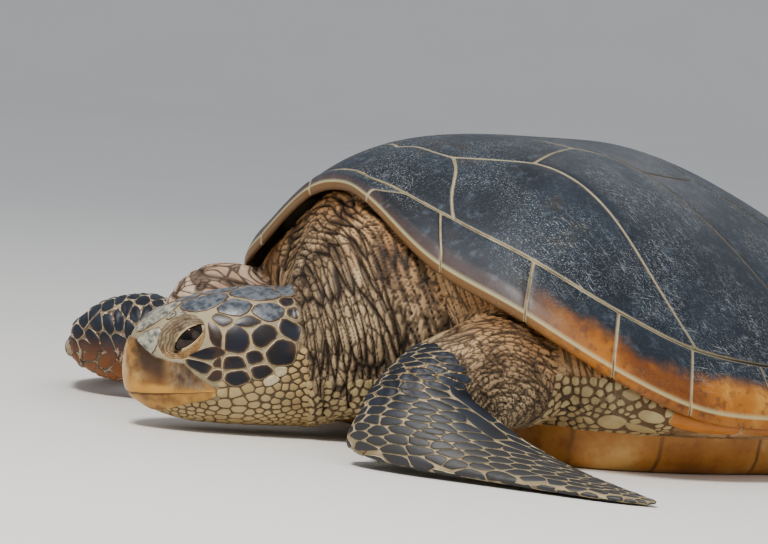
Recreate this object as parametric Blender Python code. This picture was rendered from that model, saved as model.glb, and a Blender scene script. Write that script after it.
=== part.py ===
"""An adult green sea turtle at rest on its belly: shell plates, body, head, beak, eyes, flippers and tail.

Metres, +Z up. The turtle looks along -Y, its left side is +X, and the flat of its plastron lies at Z = 0
below the middle of the shell, which is the origin.
"""
import math

import bmesh
import bpy
import numpy as np
from mathutils import Vector

# ---- driving dimensions ------------------------------------------------------------------------------
SHELL_TOP = 0.345              # height of the carapace above the floor
DOME_CENTRE_Y = -0.13          # the highest point, a third of the way back
RIM_EDGE = 0.016               # height of the blunt edge of the rim
PLATE = 0.011                  # thickness of a shell plate
PLATE_BED = 0.0175             # depth of the body's surface below the plates' outer face
SEAM = 0.0012                  # half the groove between two plates
FIT = 0.0004                   # gap kept between neighbouring solids

HEAD_LENGTH = 0.195
HEAD_YAW = math.radians(24)    # turned to the turtle's right
HEAD_PITCH = math.radians(-10)
HEAD_REAR = (-0.005, -0.490, 0.090)
EYE_RADIUS = 0.019
EYE_AT = (0.122, 0.0450, 0.031)  # along, to the side of and above the head's axis
MOUTH_HEIGHT = -0.030          # the closed mouth, below the head's axis
JAW_BEAK_FROM = 0.086          # where the horn of the lower jaw starts, along the head

SKIN_REACH = 0.955             # how far out the skin meets the rim
SKIN_BELOW_RIM = 0.004
PLASTRON_TOP = 0.046
PLASTRON_ROUND = 0.013         # how high the plastron's round edge rises above the flat

# The lower edge of the rim, from the nuchal plate round the left side to the tail: 0.92 m long, 0.758 m wide.
RIM = (
    (0.000, -0.460, 0.272), (0.065, -0.462, 0.258), (0.170, -0.447, 0.202), (0.275, -0.405, 0.160),
    (0.345, -0.330, 0.108), (0.374, -0.235, 0.070), (0.379, -0.130, 0.060), (0.366, 0.000, 0.062),
    (0.333, 0.140, 0.075), (0.270, 0.280, 0.094), (0.172, 0.390, 0.112), (0.060, 0.450, 0.115),
    (0.000, 0.460, 0.110),
)

# Angles of the seams between marginal plates, in degrees from the front, at the rim and on the inner line.
MARGINAL_RIM = (10, 30, 46, 60, 73, 90, 107, 122, 136, 148, 159, 170, 180)
MARGINAL_INNER = (17, 26, 46, 61, 75, 90, 107, 122, 136, 148, 159, 170, 180)

# Plan positions of the seams on the back: on the midline, at the ends and at the side corners.
SPINE = (-0.447, -0.388, -0.240, -0.060, 0.125, 0.385)
SEAM_END = ((0.080, -0.367), (0.105, -0.225), (0.098, -0.045), (0.085, 0.130))
SIDE_CORNER = ((0.142, -0.303), (0.138, -0.147), (0.135, 0.045))
COSTAL_AT_MARGIN = (29, 76, 113, 139, 159)

COLOURS = {                    # sRGB, roughness
    "scute": ((0.165, 0.196, 0.251), 0.45),
    "marginal": ((0.259, 0.220, 0.200), 0.45),
    "skin": ((0.596, 0.514, 0.400), 0.65),
    "scaled": ((0.180, 0.184, 0.224), 0.50),
    "belly": ((0.757, 0.545, 0.290), 0.50),
    "beak": ((0.769, 0.573, 0.318), 0.35),
    "eye": ((0.071, 0.055, 0.047), 0.10),
}


def linear(value):
    return value / 12.92 if value <= 0.04045 else ((value + 0.055) / 1.055) ** 2.4


def material(name):
    found = bpy.data.materials.get(name)
    if found:
        return found
    colour, roughness = COLOURS[name]
    made = bpy.data.materials.new(name)
    made.use_nodes = True
    shader = made.node_tree.nodes["Principled BSDF"]
    shader.inputs["Base Color"].default_value = (*[linear(v) for v in colour], 1)
    shader.inputs["Roughness"].default_value = roughness
    shader.inputs["Metallic"].default_value = 0
    return made


def collection(name):
    made = bpy.data.collections.new(name)
    bpy.context.scene.collection.children.link(made)
    return made


def mesh_object(name, points, faces, finish, home):
    mesh = bpy.data.meshes.new(name)
    mesh.from_pydata([tuple(p) for p in points], [], faces)
    work = bmesh.new()
    work.from_mesh(mesh)
    bmesh.ops.recalc_face_normals(work, faces=work.faces)
    bmesh.ops.triangulate(work, faces=work.faces)  # a lofted quad isn't flat, and every later cut must agree on it
    work.to_mesh(mesh)
    work.free()
    mesh.materials.append(material(finish))
    made = bpy.data.objects.new(name, mesh)
    home.objects.link(made)
    mesh.shade_smooth()
    mesh.set_sharp_from_angle(angle=math.radians(35))
    return made


# ---- smooth curves and lofts -------------------------------------------------------------------------
def smooth_closed(points, steps):
    """A Catmull-Rom curve through a closed run of points."""
    points = np.asarray(points, float)
    before, after, later = np.roll(points, 1, 0), np.roll(points, -1, 0), np.roll(points, -2, 0)
    run = []
    for t in np.arange(steps) / steps:
        run.append(0.5 * (2 * points + (after - before) * t
                          + (2 * before - 5 * points + 4 * after - later) * t ** 2
                          + (3 * points - before - 3 * after + later) * t ** 3))
    return np.stack(run, 1).reshape(-1, points.shape[1])


def smooth_at(keys, t):
    """Values at t on a smooth curve through rows of (place, values...)."""
    keys = np.asarray(keys, float)
    place, values = keys[:, 0], keys[:, 1:]
    slopes = np.gradient(values, place, axis=0)
    i = int(np.clip(np.searchsorted(place, t, side="right") - 1, 0, len(place) - 2))
    span = place[i + 1] - place[i]
    s = (t - place[i]) / span
    return ((1 + 2 * s) * (1 - s) ** 2 * values[i] + s * (1 - s) ** 2 * span * slopes[i]
            + s ** 2 * (3 - 2 * s) * values[i + 1] + s ** 2 * (s - 1) * span * slopes[i + 1])


def loft(name, rings, finish, home):
    """A closed solid through rings of equally many points, with a point in the middle of each end."""
    count = len(rings[0])
    points = [p for ring in rings for p in ring] + [np.mean(rings[0], 0), np.mean(rings[-1], 0)]
    faces = []
    for k in range(len(rings) - 1):
        for i in range(count):
            j = (i + 1) % count
            faces.append((k * count + i, k * count + j, (k + 1) * count + j, (k + 1) * count + i))
    first, last, base = len(points) - 2, len(points) - 1, (len(rings) - 1) * count
    faces += [(first, (i + 1) % count, i) for i in range(count)]
    faces += [(last, base + i, base + (i + 1) % count) for i in range(count)]
    return mesh_object(name, points, faces, finish, home)


def oval(count, power=2.0):
    """Points of a unit superellipse: 2 is an ellipse, more is squarer."""
    angle = np.arange(count) / count * 2 * np.pi
    c, s = np.cos(angle), np.sin(angle)
    return np.stack([np.sign(c) * np.abs(c) ** (2 / power), np.sign(s) * np.abs(s) ** (2 / power)], 1)


# ---- the carapace's own surface ----------------------------------------------------------------------
def whole_rim():
    left = np.array(RIM)
    right = left[-2:0:-1] * (-1, 1, 1)
    run = smooth_closed(np.vstack([left, right]), 16)
    angle = np.arctan2(run[:, 0], DOME_CENTRE_Y - run[:, 1])
    order = np.argsort(angle)
    reach = np.hypot(run[:, 0], run[:, 1] - DOME_CENTRE_Y)
    return angle[order], reach[order], run[order, 2]


RIM_ANGLE, RIM_REACH, RIM_HEIGHT = whole_rim()


def rim_at(angle):
    """Distance from the dome's centre to the rim, and the height of its lower edge, at an angle."""
    around = 2 * np.pi
    return (np.interp(angle, RIM_ANGLE, RIM_REACH, period=around),
            np.interp(angle, RIM_ANGLE, RIM_HEIGHT, period=around))


def polar(x, y):
    """Fraction of the way out to the rim, and the angle from the front."""
    angle = np.arctan2(x, DOME_CENTRE_Y - y)
    return np.hypot(x, y - DOME_CENTRE_Y) / rim_at(angle)[0], angle


def plan(out, angle):
    reach = rim_at(angle)[0]
    return np.array([out * reach * np.sin(angle), DOME_CENTRE_Y - out * reach * np.cos(angle)])


def dome_height(x, y):
    """Height of the shell's outer face: steep over the neck, round at the sides, long and low behind."""
    out, angle = polar(x, y)
    front = ((1 + np.cos(angle)) / 2) ** 3
    rear = ((1 - np.cos(angle)) / 2) ** 2
    edge = rim_at(angle)[1] + RIM_EDGE
    power = 2.1 + 2.0 * front
    return edge + (SHELL_TOP - edge) * (1 - out ** power) - 0.38 * rear * out ** 2 * (1 - out)


def dome(x, y, depth=0.0):
    """A point of the dome, moved inwards along the surface's normal."""
    step = 0.002
    slope_x = (dome_height(x + step, y) - dome_height(x - step, y)) / (2 * step)
    slope_y = (dome_height(x, y + step) - dome_height(x, y - step)) / (2 * step)
    normal = np.array([-slope_x, -slope_y, 1.0])
    normal /= np.linalg.norm(normal)
    return np.array([x, y, dome_height(x, y)]) - normal * depth


def inner_line(angle):
    """How far out the marginal plates start: nearly at the rim over the neck, wider behind."""
    turn = abs(math.degrees(angle))
    turn = min(turn, 360 - turn)
    over_neck = 1 - min(max((turn - 8) / 22, 0), 1)
    behind = min(max((turn - 110) / 60, 0), 1)
    return 0.905 + 0.060 * over_neck ** 1.5 - 0.035 * behind


# ---- shell plates ------------------------------------------------------------------------------------
def plate(name, outline, finish, home):
    """A plate on the dome inside a plan outline: an outer and an inner face joined round the edge."""
    outline = np.array(outline)
    centre = outline.mean(0)
    away = outline - centre
    away *= 1 - 1.5 * SEAM / np.linalg.norm(away, axis=1, keepdims=True)
    count = len(outline)
    rings = [[dome(*(centre + away * share)[i], depth) for i in range(count)]
             for share, depth in ((0.5, 0), (1, 0), (1, PLATE), (0.6, PLATE))]
    made = loft(name, rings, finish, home)
    ends = made.data.vertices[-2:]
    ends[0].co, ends[1].co = Vector(dome(*centre)), Vector(dome(*centre, PLATE))
    return made


def seam_run(start, end, count, bow=0.0):
    """Plan points along a seam, without its end, bowed to its left."""
    start, end = np.array(start), np.array(end)
    side = np.array([start[1] - end[1], end[0] - start[0]])
    return [start + (end - start) * t + side * bow * math.sin(math.pi * t) for t in np.arange(count) / count]


def margin_run(start, end, count, side=1):
    """Plan points along the marginal plates' inner line, between angles in degrees, without the end."""
    run = []
    for t in np.arange(count) / count:
        angle = math.radians(start + (end - start) * t) * side
        run.append(plan(inner_line(angle), angle))
    return run


def mirrored(points):
    return [np.array([-p[0], p[1]]) for p in points][::-1]


def vertebral_half(number):
    """A vertebral plate's outline on the left side, from the front of the midline to its rear."""
    front, rear = (0, SPINE[number - 1]), (0, SPINE[number])
    if number == 1:
        half = margin_run(0, COSTAL_AT_MARGIN[0], 5) + seam_run(at_margin(0), SEAM_END[0], 3)
        return half + seam_run(SEAM_END[0], rear, 3) + [np.array(rear)]
    half = seam_run(front, SEAM_END[number - 2], 3)
    if number == 5:
        last = plan(inner_line(math.pi), math.pi)
        return half + seam_run(SEAM_END[3], at_margin(4), 5) + margin_run(COSTAL_AT_MARGIN[4], 180, 4) + [last]
    corner = SIDE_CORNER[number - 2]
    half += seam_run(SEAM_END[number - 2], corner, 3) + seam_run(corner, SEAM_END[number - 1], 3)
    return half + seam_run(SEAM_END[number - 1], rear, 3) + [np.array(rear)]


def at_margin(number):
    """Where a costal plate's seam meets the marginal plates."""
    angle = math.radians(COSTAL_AT_MARGIN[number])
    return plan(inner_line(angle), angle)


def costal_outline(number):
    """A left costal plate: along the margin, up its rear seam, past the vertebral plates and down again."""
    inner = {1: (SIDE_CORNER[0], SEAM_END[0]), 4: (SEAM_END[3], SIDE_CORNER[2])}.get(number)
    if inner is None:
        inner = (SIDE_CORNER[number - 1], SEAM_END[number - 1], SIDE_CORNER[number - 2])
    outline = margin_run(COSTAL_AT_MARGIN[number - 1], COSTAL_AT_MARGIN[number], 6)
    outline += seam_run(at_margin(number), inner[0], 5)
    for start, end in zip(inner, inner[1:]):
        outline += seam_run(start, end, 3)
    return outline + seam_run(inner[-1], at_margin(number - 1), 5)


def back_plates(home):
    """Five vertebral and four pairs of costal plates."""
    for number in range(1, 6):
        half = vertebral_half(number)
        plate(f"vertebral_{number}", half + mirrored(half)[1:-1], "scute", home)
    for number in range(1, 5):
        outline = costal_outline(number)
        plate(f"costal_left_{number}", outline, "scute", home)
        plate(f"costal_right_{number}", mirrored(outline), "scute", home)


def rim_section(rim_angle, inner_angle):
    """A marginal plate cut through: its outer face, the blunt rim and its inner face."""
    start = inner_line(inner_angle)
    start += SEAM / rim_at(inner_angle)[0]
    places = [(start, 0), ((1 + 2 * start) / 3, 0), ((2 + start) / 3, 0), (0.996, 0)]
    section = []
    for out, depth in places:
        share = (out - start) / (1 - start)
        angle = inner_angle + (rim_angle - inner_angle) * share
        section.append(dome(*plan(out, angle), depth))
    height = rim_at(rim_angle)[1]
    section.append(np.array([*plan(1.0, rim_angle), height + RIM_EDGE / 2]))
    section.append(np.array([*plan(0.990, rim_angle), height]))
    for out, share in (((1 + start) / 2, 0.5), (start, 0.0)):
        angle = inner_angle + (rim_angle - inner_angle) * share
        section.append(dome(*plan(out, angle), PLATE))
    return section


def rim_plates(home):
    """The nuchal plate and twelve pairs of marginal plates."""
    def span(name, rim_from, rim_to, inner_from, inner_to, side, steps):
        rings = []
        for t in np.linspace(0, 1, steps):
            inset = (1 - 2 * t) * SEAM
            angles = []
            for start, end in ((rim_from, rim_to), (inner_from, inner_to)):
                angle = math.radians(start + (end - start) * t)
                angles.append((angle + inset / rim_at(angle)[0]) * side)
            rings.append(rim_section(*angles))
        loft(name, rings, "marginal", home)

    span("nuchal", -MARGINAL_RIM[0], MARGINAL_RIM[0], -MARGINAL_INNER[0], MARGINAL_INNER[0], 1, 7)
    for side, word in ((1, "left"), (-1, "right")):
        for k in range(12):
            span(f"marginal_{word}_{k + 1}", *MARGINAL_RIM[k:k + 2], *MARGINAL_INNER[k:k + 2], side, 4)


# ---- trunk and plastron ------------------------------------------------------------------------------
def belly_reach(angle):
    """How far out the plastron goes: nearly to the rim at the sides, less in front and behind."""
    front = ((1 + np.cos(angle)) / 2) ** 2
    rear = ((1 - np.cos(angle)) / 2) ** 3
    return 0.92 - 0.24 * front - 0.10 * rear


def trunk(home):
    """The body inside the shell, closed by the skin that bulges between the rim and the plastron."""
    angles = np.arange(40) / 40 * 2 * np.pi
    rings = [[dome(*plan(out, a), PLATE_BED) for a in angles] for out in (0.25, 0.5, 0.7, 0.84, 0.93)]
    for inward, down in ((0.0, 0.0), (0.22, 0.45), (1.0, 1.0)):
        ring = []
        for a in angles:
            out = SKIN_REACH + (belly_reach(a) - SKIN_REACH) * inward
            top = rim_at(a)[1] - SKIN_BELOW_RIM
            ring.append([*plan(out, a), top + (PLASTRON_TOP + FIT - top) * down])
        rings.append(ring)
    return loft("trunk", rings, "skin", home)


def plastron(home):
    angles = np.arange(40) / 40 * 2 * np.pi
    rings = []
    for inset, height in ((0.050, 0), (0.012, PLASTRON_ROUND), (0.0, 0.6 * PLASTRON_TOP), (0.012, PLASTRON_TOP)):
        rings.append([[*plan(belly_reach(a) - inset, a), height] for a in angles])
    return loft("plastron", rings, "belly", home)


# ---- limbs, neck and tail ----------------------------------------------------------------------------
def tube(name, stations, finish, home, count=16, power=2.2, steps=2):
    """A limb through stations of (x, y, z, half width, half height), upright across its run."""
    keys = [(k, *station) for k, station in enumerate(stations)]
    places = np.linspace(0, len(stations) - 1, (len(stations) - 1) * steps + 1)
    rings = []
    for t in places:
        here = smooth_at(keys, t)
        ahead = smooth_at(keys, min(t + 0.05, len(stations) - 1))[:3] - smooth_at(keys, max(t - 0.05, 0))[:3]
        side = np.cross(ahead, (0, 0, 1))
        side /= np.linalg.norm(side)
        up = np.cross(side, ahead)
        up /= np.linalg.norm(up)
        ring = [here[:3] + side * a * here[3] + up * b * here[4] for a, b in oval(count, power)]
        rings.append([(x, y, max(z, 0)) for x, y, z in ring])
    return loft(name, rings, finish, home)


def blade(name, stations, side, home, finish="scaled", steps=2):
    """A flipper through stations of (leading edge, trailing edge, thickness), with its low side flat."""
    keys = [(k, *lead, *trail, thick) for k, (lead, trail, thick) in enumerate(stations)]
    rings = []
    for t in np.linspace(0, len(stations) - 1, (len(stations) - 1) * steps + 1):
        here = smooth_at(keys, t)
        ahead = smooth_at(keys, min(t + 0.1, len(stations) - 1)) - smooth_at(keys, max(t - 0.1, 0))
        lead, trail, thick = here[:3], here[3:6], here[6]
        chord = trail - lead
        lift = np.cross(ahead[:3] + ahead[3:6], chord)
        lift *= thick / 2 / np.linalg.norm(lift)
        ring = [(lead + trail) / 2 + chord / 2 * a + lift * b for a, b in oval(14, 1.9)]
        rings.append([(x * side, y, max(z, 0)) for x, y, z in ring])
    return loft(name, rings, finish, home)


def grown_copy(source, cutters, gap):
    """A cutter a little larger than a solid, so that what it cuts keeps clear of that solid."""
    mesh = bpy.data.meshes.new_from_object(source.evaluated_get(bpy.context.evaluated_depsgraph_get()))
    made = bpy.data.objects.new(source.name + "_cutter", mesh)
    made.matrix_world = source.matrix_world
    cutters.objects.link(made)
    normals = [v.normal.copy() for v in mesh.vertices]
    for vertex, normal in zip(mesh.vertices, normals):
        vertex.co += normal * gap
    made.hide_render = True
    made.display_type = "WIRE"
    return made


def trim(target, neighbours, cutters):
    """Cuts a solid back to a small gap from each neighbour that it meets."""
    for neighbour in neighbours:
        cut = target.modifiers.new("clear of " + neighbour.name, "BOOLEAN")
        cut.operation = "DIFFERENCE"
        cut.solver = "EXACT"
        cut.object = grown_copy(neighbour, cutters, 2 * FIT)


# The left flipper is folded beside the neck with its leading edge on the floor; the right one reaches out.
ARM_LEFT = (
    (0.190, -0.270, 0.118, 0.072, 0.058), (0.233, -0.370, 0.106, 0.062, 0.064),
    (0.238, -0.460, 0.082, 0.060, 0.056), (0.234, -0.518, 0.058, 0.046, 0.041),
    (0.229, -0.550, 0.046, 0.024, 0.022),
)
ARM_RIGHT = (
    (-0.190, -0.270, 0.116, 0.070, 0.058), (-0.230, -0.355, 0.097, 0.062, 0.055),
    (-0.257, -0.443, 0.104, 0.047, 0.066), (-0.291, -0.474, 0.081, 0.050, 0.040),
    (-0.330, -0.497, 0.073, 0.054, 0.052), (-0.366, -0.530, 0.064, 0.046, 0.047),
    (-0.393, -0.557, 0.056, 0.026, 0.025),
)
BLADE_LEFT = (
    ((0.208, -0.562, 0.024), (0.236, -0.522, 0.088), 0.028), ((0.240, -0.576, 0.015), (0.268, -0.503, 0.096), 0.034),
    ((0.302, -0.553, 0.008), (0.305, -0.477, 0.080), 0.030), ((0.370, -0.515, 0.007), (0.338, -0.438, 0.046), 0.024),
    ((0.440, -0.475, 0.006), (0.394, -0.413, 0.022), 0.017), ((0.496, -0.438, 0.004), (0.464, -0.402, 0.011), 0.011),
    ((0.530, -0.404, 0.003), (0.520, -0.396, 0.005), 0.006),
)
BLADE_RIGHT = (
    ((0.390, -0.570, 0.042), (0.388, -0.503, 0.088), 0.030), ((0.422, -0.555, 0.047), (0.410, -0.478, 0.088), 0.033),
    ((0.474, -0.520, 0.040), (0.436, -0.450, 0.070), 0.029), ((0.522, -0.462, 0.022), (0.470, -0.408, 0.042), 0.023),
    ((0.560, -0.395, 0.010), (0.512, -0.360, 0.020), 0.017), ((0.582, -0.340, 0.005), (0.554, -0.325, 0.010), 0.011),
    ((0.590, -0.300, 0.003), (0.580, -0.296, 0.005), 0.006),
)
HIND = (
    ((0.185, 0.330, 0.070), (0.105, 0.335, 0.070), 0.070), ((0.262, 0.395, 0.026), (0.150, 0.420, 0.040), 0.045),
    ((0.315, 0.480, 0.009), (0.190, 0.500, 0.016), 0.022), ((0.335, 0.560, 0.006), (0.235, 0.570, 0.008), 0.014),
    ((0.318, 0.610, 0.004), (0.275, 0.612, 0.005), 0.008),
)
TAIL = (
    (0, 0.330, 0.062, 0.042, 0.036), (0, 0.430, 0.050, 0.034, 0.030), (0, 0.510, 0.024, 0.022, 0.020),
    (0, 0.560, 0.012, 0.010, 0.010),
)


def limbs(home, cutters, body, belly, neck_solid):
    for word, arm_stations, blade_stations, side in (("left", ARM_LEFT, BLADE_LEFT, 1),
                                                     ("right", ARM_RIGHT, BLADE_RIGHT, -1)):
        arm = tube(f"fore_arm_{word}", arm_stations, "skin", home)
        trim(arm, (body, belly, neck_solid), cutters)
        trim(blade(f"fore_flipper_{word}", blade_stations, side, home), (arm,), cutters)
    for word, side in (("left", 1), ("right", -1)):
        trim(blade(f"hind_flipper_{word}", HIND, side, home), (body, belly), cutters)
    trim(tube("tail", TAIL, "skin", home, 12), (body, belly), cutters)


# ---- head and neck -----------------------------------------------------------------------------------
# The head whole: share of its length from the rear, half width, top and bottom about its axis.
HEAD_SECTIONS = (
    (0.00, 0.066, 0.074, -0.080), (0.25, 0.070, 0.081, -0.073), (0.50, 0.065, 0.079, -0.065),
    (0.70, 0.054, 0.072, -0.056), (0.85, 0.040, 0.060, -0.043), (0.94, 0.026, 0.043, -0.030),
    (0.985, 0.014, 0.022, -0.020), (1.00, 0.004, 0.008, -0.010),
)
NECK = (                      # centre, half width, half height and turn, from the trunk to the head
    (0.000, -0.360, 0.150, 0.200, 0.110, 0.0), (0.000, -0.425, 0.148, 0.165, 0.122, 0.0),
    (-0.003, -0.461, 0.125, 0.112, 0.110, 0.5), (-0.005, -0.490, 0.088, 0.074, 0.080, 1.0),
)


def head_axes():
    yaw, pitch = HEAD_YAW, HEAD_PITCH
    ahead = np.array([-math.sin(yaw) * math.cos(pitch), -math.cos(yaw) * math.cos(pitch), math.sin(pitch)])
    left = np.array([math.cos(yaw), -math.sin(yaw), 0])
    return ahead, left, np.cross(ahead, left)


def on_head(along, side, above):
    ahead, left, up = head_axes()
    return np.array(HEAD_REAR) + ahead * along + left * side + up * above


def head_whole(home):
    rings = []
    for t in (0, 0.1, 0.2, 0.3, 0.4, 0.5, 0.6, 0.7, 0.78, 0.85, 0.91, 0.95, 0.98, 1.0):
        width, top, bottom = smooth_at(HEAD_SECTIONS, t)
        middle, half = (top + bottom) / 2, (top - bottom) / 2
        rings.append([on_head(t * HEAD_LENGTH, width * a, middle + half * b) for a, b in oval(24, 2.3)])
    return loft("head", rings, "scaled", home)


def sliced(source, point, normal, name, finish, home):
    """Splits off what lies beyond a plane as a new solid, leaving a thin gap."""
    made = bpy.data.objects.new(name, source.data.copy())
    home.objects.link(made)
    made.data.materials.clear()
    made.data.materials.append(material(finish))
    normal = np.array(normal) / np.linalg.norm(normal)
    for piece, sign in ((source, 1), (made, -1)):
        work = bmesh.new()
        work.from_mesh(piece.data)
        cut = bmesh.ops.bisect_plane(
            work, geom=work.verts[:] + work.edges[:] + work.faces[:], dist=1e-6,
            plane_co=np.array(point) - normal * FIT / 2 * sign, plane_no=normal * sign, clear_outer=True)
        edges = [item for item in cut["geom_cut"] if isinstance(item, bmesh.types.BMEdge)]
        bmesh.ops.holes_fill(work, edges=edges)
        bmesh.ops.recalc_face_normals(work, faces=work.faces)
        work.to_mesh(piece.data)
        work.free()
    return made


def head(home, cutters):
    """Head, lower jaw, both halves of the beak and the eyes, parted with thin cuts."""
    skull = head_whole(home)
    ahead, left, up = head_axes()
    jaw = sliced(skull, on_head(0, 0, MOUTH_HEIGHT), -up, "lower_jaw", "scaled", home)
    nostril, corner = (0.185, 0.030), (0.094, -0.028)
    rise = (nostril[1] - corner[1]) / (nostril[0] - corner[0])
    sliced(skull, on_head(corner[0], 0, corner[1]), ahead * rise - up, "beak_upper", "beak", home)
    sliced(jaw, on_head(JAW_BEAK_FROM, 0, 0), ahead, "beak_lower", "beak", home)
    for word, side in (("left", 1), ("right", -1)):
        along, aside, above = EYE_AT
        bpy.ops.mesh.primitive_uv_sphere_add(segments=14, ring_count=8, radius=EYE_RADIUS,
                                             location=on_head(along, aside * side, above))
        eye = bpy.context.object
        eye.name = f"eye_{word}"
        eye.data.materials.append(material("eye"))
        eye.data.shade_smooth()
        for owner in eye.users_collection:
            owner.objects.unlink(eye)
        home.objects.link(eye)
        bpy.context.view_layer.update()
        trim(skull, (eye,), cutters)


def neck(home):
    rings = []
    for t in np.linspace(0, len(NECK) - 1, 10):
        x, y, z, width, height, turn = smooth_at([(k, *row) for k, row in enumerate(NECK)], t)
        ahead, left, up = head_axes()
        side = np.array([1, 0, 0]) * (1 - turn) + left * turn
        tall = np.array([0, 0, 1]) * (1 - turn) + up * turn
        centre = np.array([x, y, z]) - ahead * FIT * turn
        rings.append([centre + side * width * a + tall * height * b for a, b in oval(28, 2.2)])
    return loft("neck", rings, "skin", home)


def main():
    for item in list(bpy.data.objects):
        bpy.data.objects.remove(item, do_unlink=True)
    home = collection("sea_turtle")
    cutters = collection("cutters")
    back_plates(home)
    rim_plates(home)
    body = trunk(home)
    belly = plastron(home)
    head(home, cutters)
    neck_solid = neck(home)
    trim(neck_solid, (body, belly), cutters)
    limbs(home, cutters, body, belly, neck_solid)


main()
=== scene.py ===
# %% [markdown]
# # A green sea turtle at rest
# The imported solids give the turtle's size and stance. This script gives it the surface of the living
# animal: horn plates on the back, one wrinkled skin over the body, horny scales on the skin, a beak and two
# eyes. Everything is in metres. The turtle looks along -Y, its left side is +X, and it lies on Z = 0.

# %% The frame and the tools
import math
import random

import bmesh
import bpy
import numpy as np
from mathutils import Matrix, Vector, kdtree, noise
from mathutils.bvhtree import BVHTree


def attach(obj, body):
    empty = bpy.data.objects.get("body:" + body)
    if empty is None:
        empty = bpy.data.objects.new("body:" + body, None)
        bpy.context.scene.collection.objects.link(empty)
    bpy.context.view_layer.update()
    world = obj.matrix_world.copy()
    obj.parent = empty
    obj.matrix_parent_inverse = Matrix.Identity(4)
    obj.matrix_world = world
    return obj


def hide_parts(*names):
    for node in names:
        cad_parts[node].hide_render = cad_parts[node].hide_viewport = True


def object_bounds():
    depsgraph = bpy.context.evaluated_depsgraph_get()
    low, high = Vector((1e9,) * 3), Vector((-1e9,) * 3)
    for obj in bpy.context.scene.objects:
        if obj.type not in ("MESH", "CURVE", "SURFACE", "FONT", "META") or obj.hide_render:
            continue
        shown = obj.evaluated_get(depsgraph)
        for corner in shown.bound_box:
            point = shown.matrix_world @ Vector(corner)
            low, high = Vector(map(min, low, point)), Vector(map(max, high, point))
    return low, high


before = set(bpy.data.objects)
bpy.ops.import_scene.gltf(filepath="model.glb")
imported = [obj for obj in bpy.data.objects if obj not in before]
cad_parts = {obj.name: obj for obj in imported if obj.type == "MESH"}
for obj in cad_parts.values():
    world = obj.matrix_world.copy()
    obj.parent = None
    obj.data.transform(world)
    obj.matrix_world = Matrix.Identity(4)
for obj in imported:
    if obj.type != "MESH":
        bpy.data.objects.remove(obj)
CAD_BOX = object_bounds()
MM = 0.001
print("CAD box", [[round(v, 3) for v in corner] for corner in CAD_BOX])

# %% [markdown]
# ## Camera, light and floor
# The animal is seen from its front left, low down and from four metres with a long lens, so it isn't
# distorted. A soft lamp above and to the front shows the relief of skin and scales. A wide, weak one beside
# the camera opens the shadows, another behind lights the far side of the shell, and a pale, even surround
# fills the rest.

# %% Camera
CAMERA_AIM = Vector((-0.187, -0.266, 0.170))
CAMERA_AZIMUTH, CAMERA_ELEVATION, CAMERA_ROLL = (math.radians(v) for v in (56, 3.5, 4.5))
CAMERA_DISTANCE = 4.0
CAMERA_LENS, CAMERA_SENSOR = 159.375, 36.0

camera = bpy.data.objects.new("camera", bpy.data.cameras.new("camera"))
bpy.context.scene.collection.objects.link(camera)
back = Vector((math.sin(CAMERA_AZIMUTH) * math.cos(CAMERA_ELEVATION),
               -math.cos(CAMERA_AZIMUTH) * math.cos(CAMERA_ELEVATION), math.sin(CAMERA_ELEVATION)))
level = (-back).cross(Vector((0, 0, 1))).normalized()
rise = level.cross(-back)
turned_right = level * math.cos(CAMERA_ROLL) + rise * math.sin(CAMERA_ROLL)
turned_up = rise * math.cos(CAMERA_ROLL) - level * math.sin(CAMERA_ROLL)
camera.matrix_world = (Matrix.Translation(CAMERA_AIM + back * CAMERA_DISTANCE)
                       @ Matrix((turned_right, turned_up, back)).transposed().to_4x4())
camera.data.sensor_width = CAMERA_SENSOR
camera.data.lens = CAMERA_LENS
bpy.context.scene.camera = camera
print("camera at", [round(v, 3) for v in camera.matrix_world.translation])


# %% Light
def soft_lamp(name, place, aim, size, watts, colour):
    """A round lamp that is so many metres across."""
    lamp = bpy.data.lights.new(name, "AREA")
    lamp.shape = "DISK"
    lamp.size, lamp.energy, lamp.color = size, watts, colour
    made = bpy.data.objects.new(name, lamp)
    bpy.context.scene.collection.objects.link(made)
    towards = (Vector(aim) - Vector(place)).to_track_quat("-Z", "Y")
    made.matrix_world = Matrix.Translation(place) @ towards.to_matrix().to_4x4()


soft_lamp("key_light", (1.2, -2.2, 2.9), (0, -0.2, 0.1), 0.8, 96, (1.0, 0.97, 0.92))
soft_lamp("fill_light", (2.9, -0.6, 1.5), (0, -0.2, 0.1), 2.4, 9, (0.92, 0.96, 1.0))
soft_lamp("back_light", (-1.6, 2.2, 2.4), (0, 0.1, 0.1), 1.8, 8, (1.0, 1.0, 1.0))
world = bpy.data.worlds.new("surround")
world.use_nodes = True
world.node_tree.nodes["Background"].inputs["Color"].default_value = (0.86, 0.90, 0.96, 1)
world.node_tree.nodes["Background"].inputs["Strength"].default_value = 0.5
bpy.context.scene.world = world
bpy.context.scene.view_settings.look = "AgX - Medium High Contrast"


# %% [markdown]
# ## Helpers for materials and meshes
# Colours are written as screen colours, and where they enter a material they are turned to linear light.
# Short functions stand for the shader nodes that come back in every material: a ramp, a mix, a sum, clouds
# of noise and a relief. Others make a mesh with named values on its points, which its material reads.

# %% Helpers
def linear(code):
    """An sRGB hex colour as linear RGBA."""
    parts = [int(code[i:i + 2], 16) / 255 for i in (1, 3, 5)]
    return (*[v / 12.92 if v <= 0.04045 else ((v + 0.055) / 1.055) ** 2.4 for v in parts], 1.0)


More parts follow.
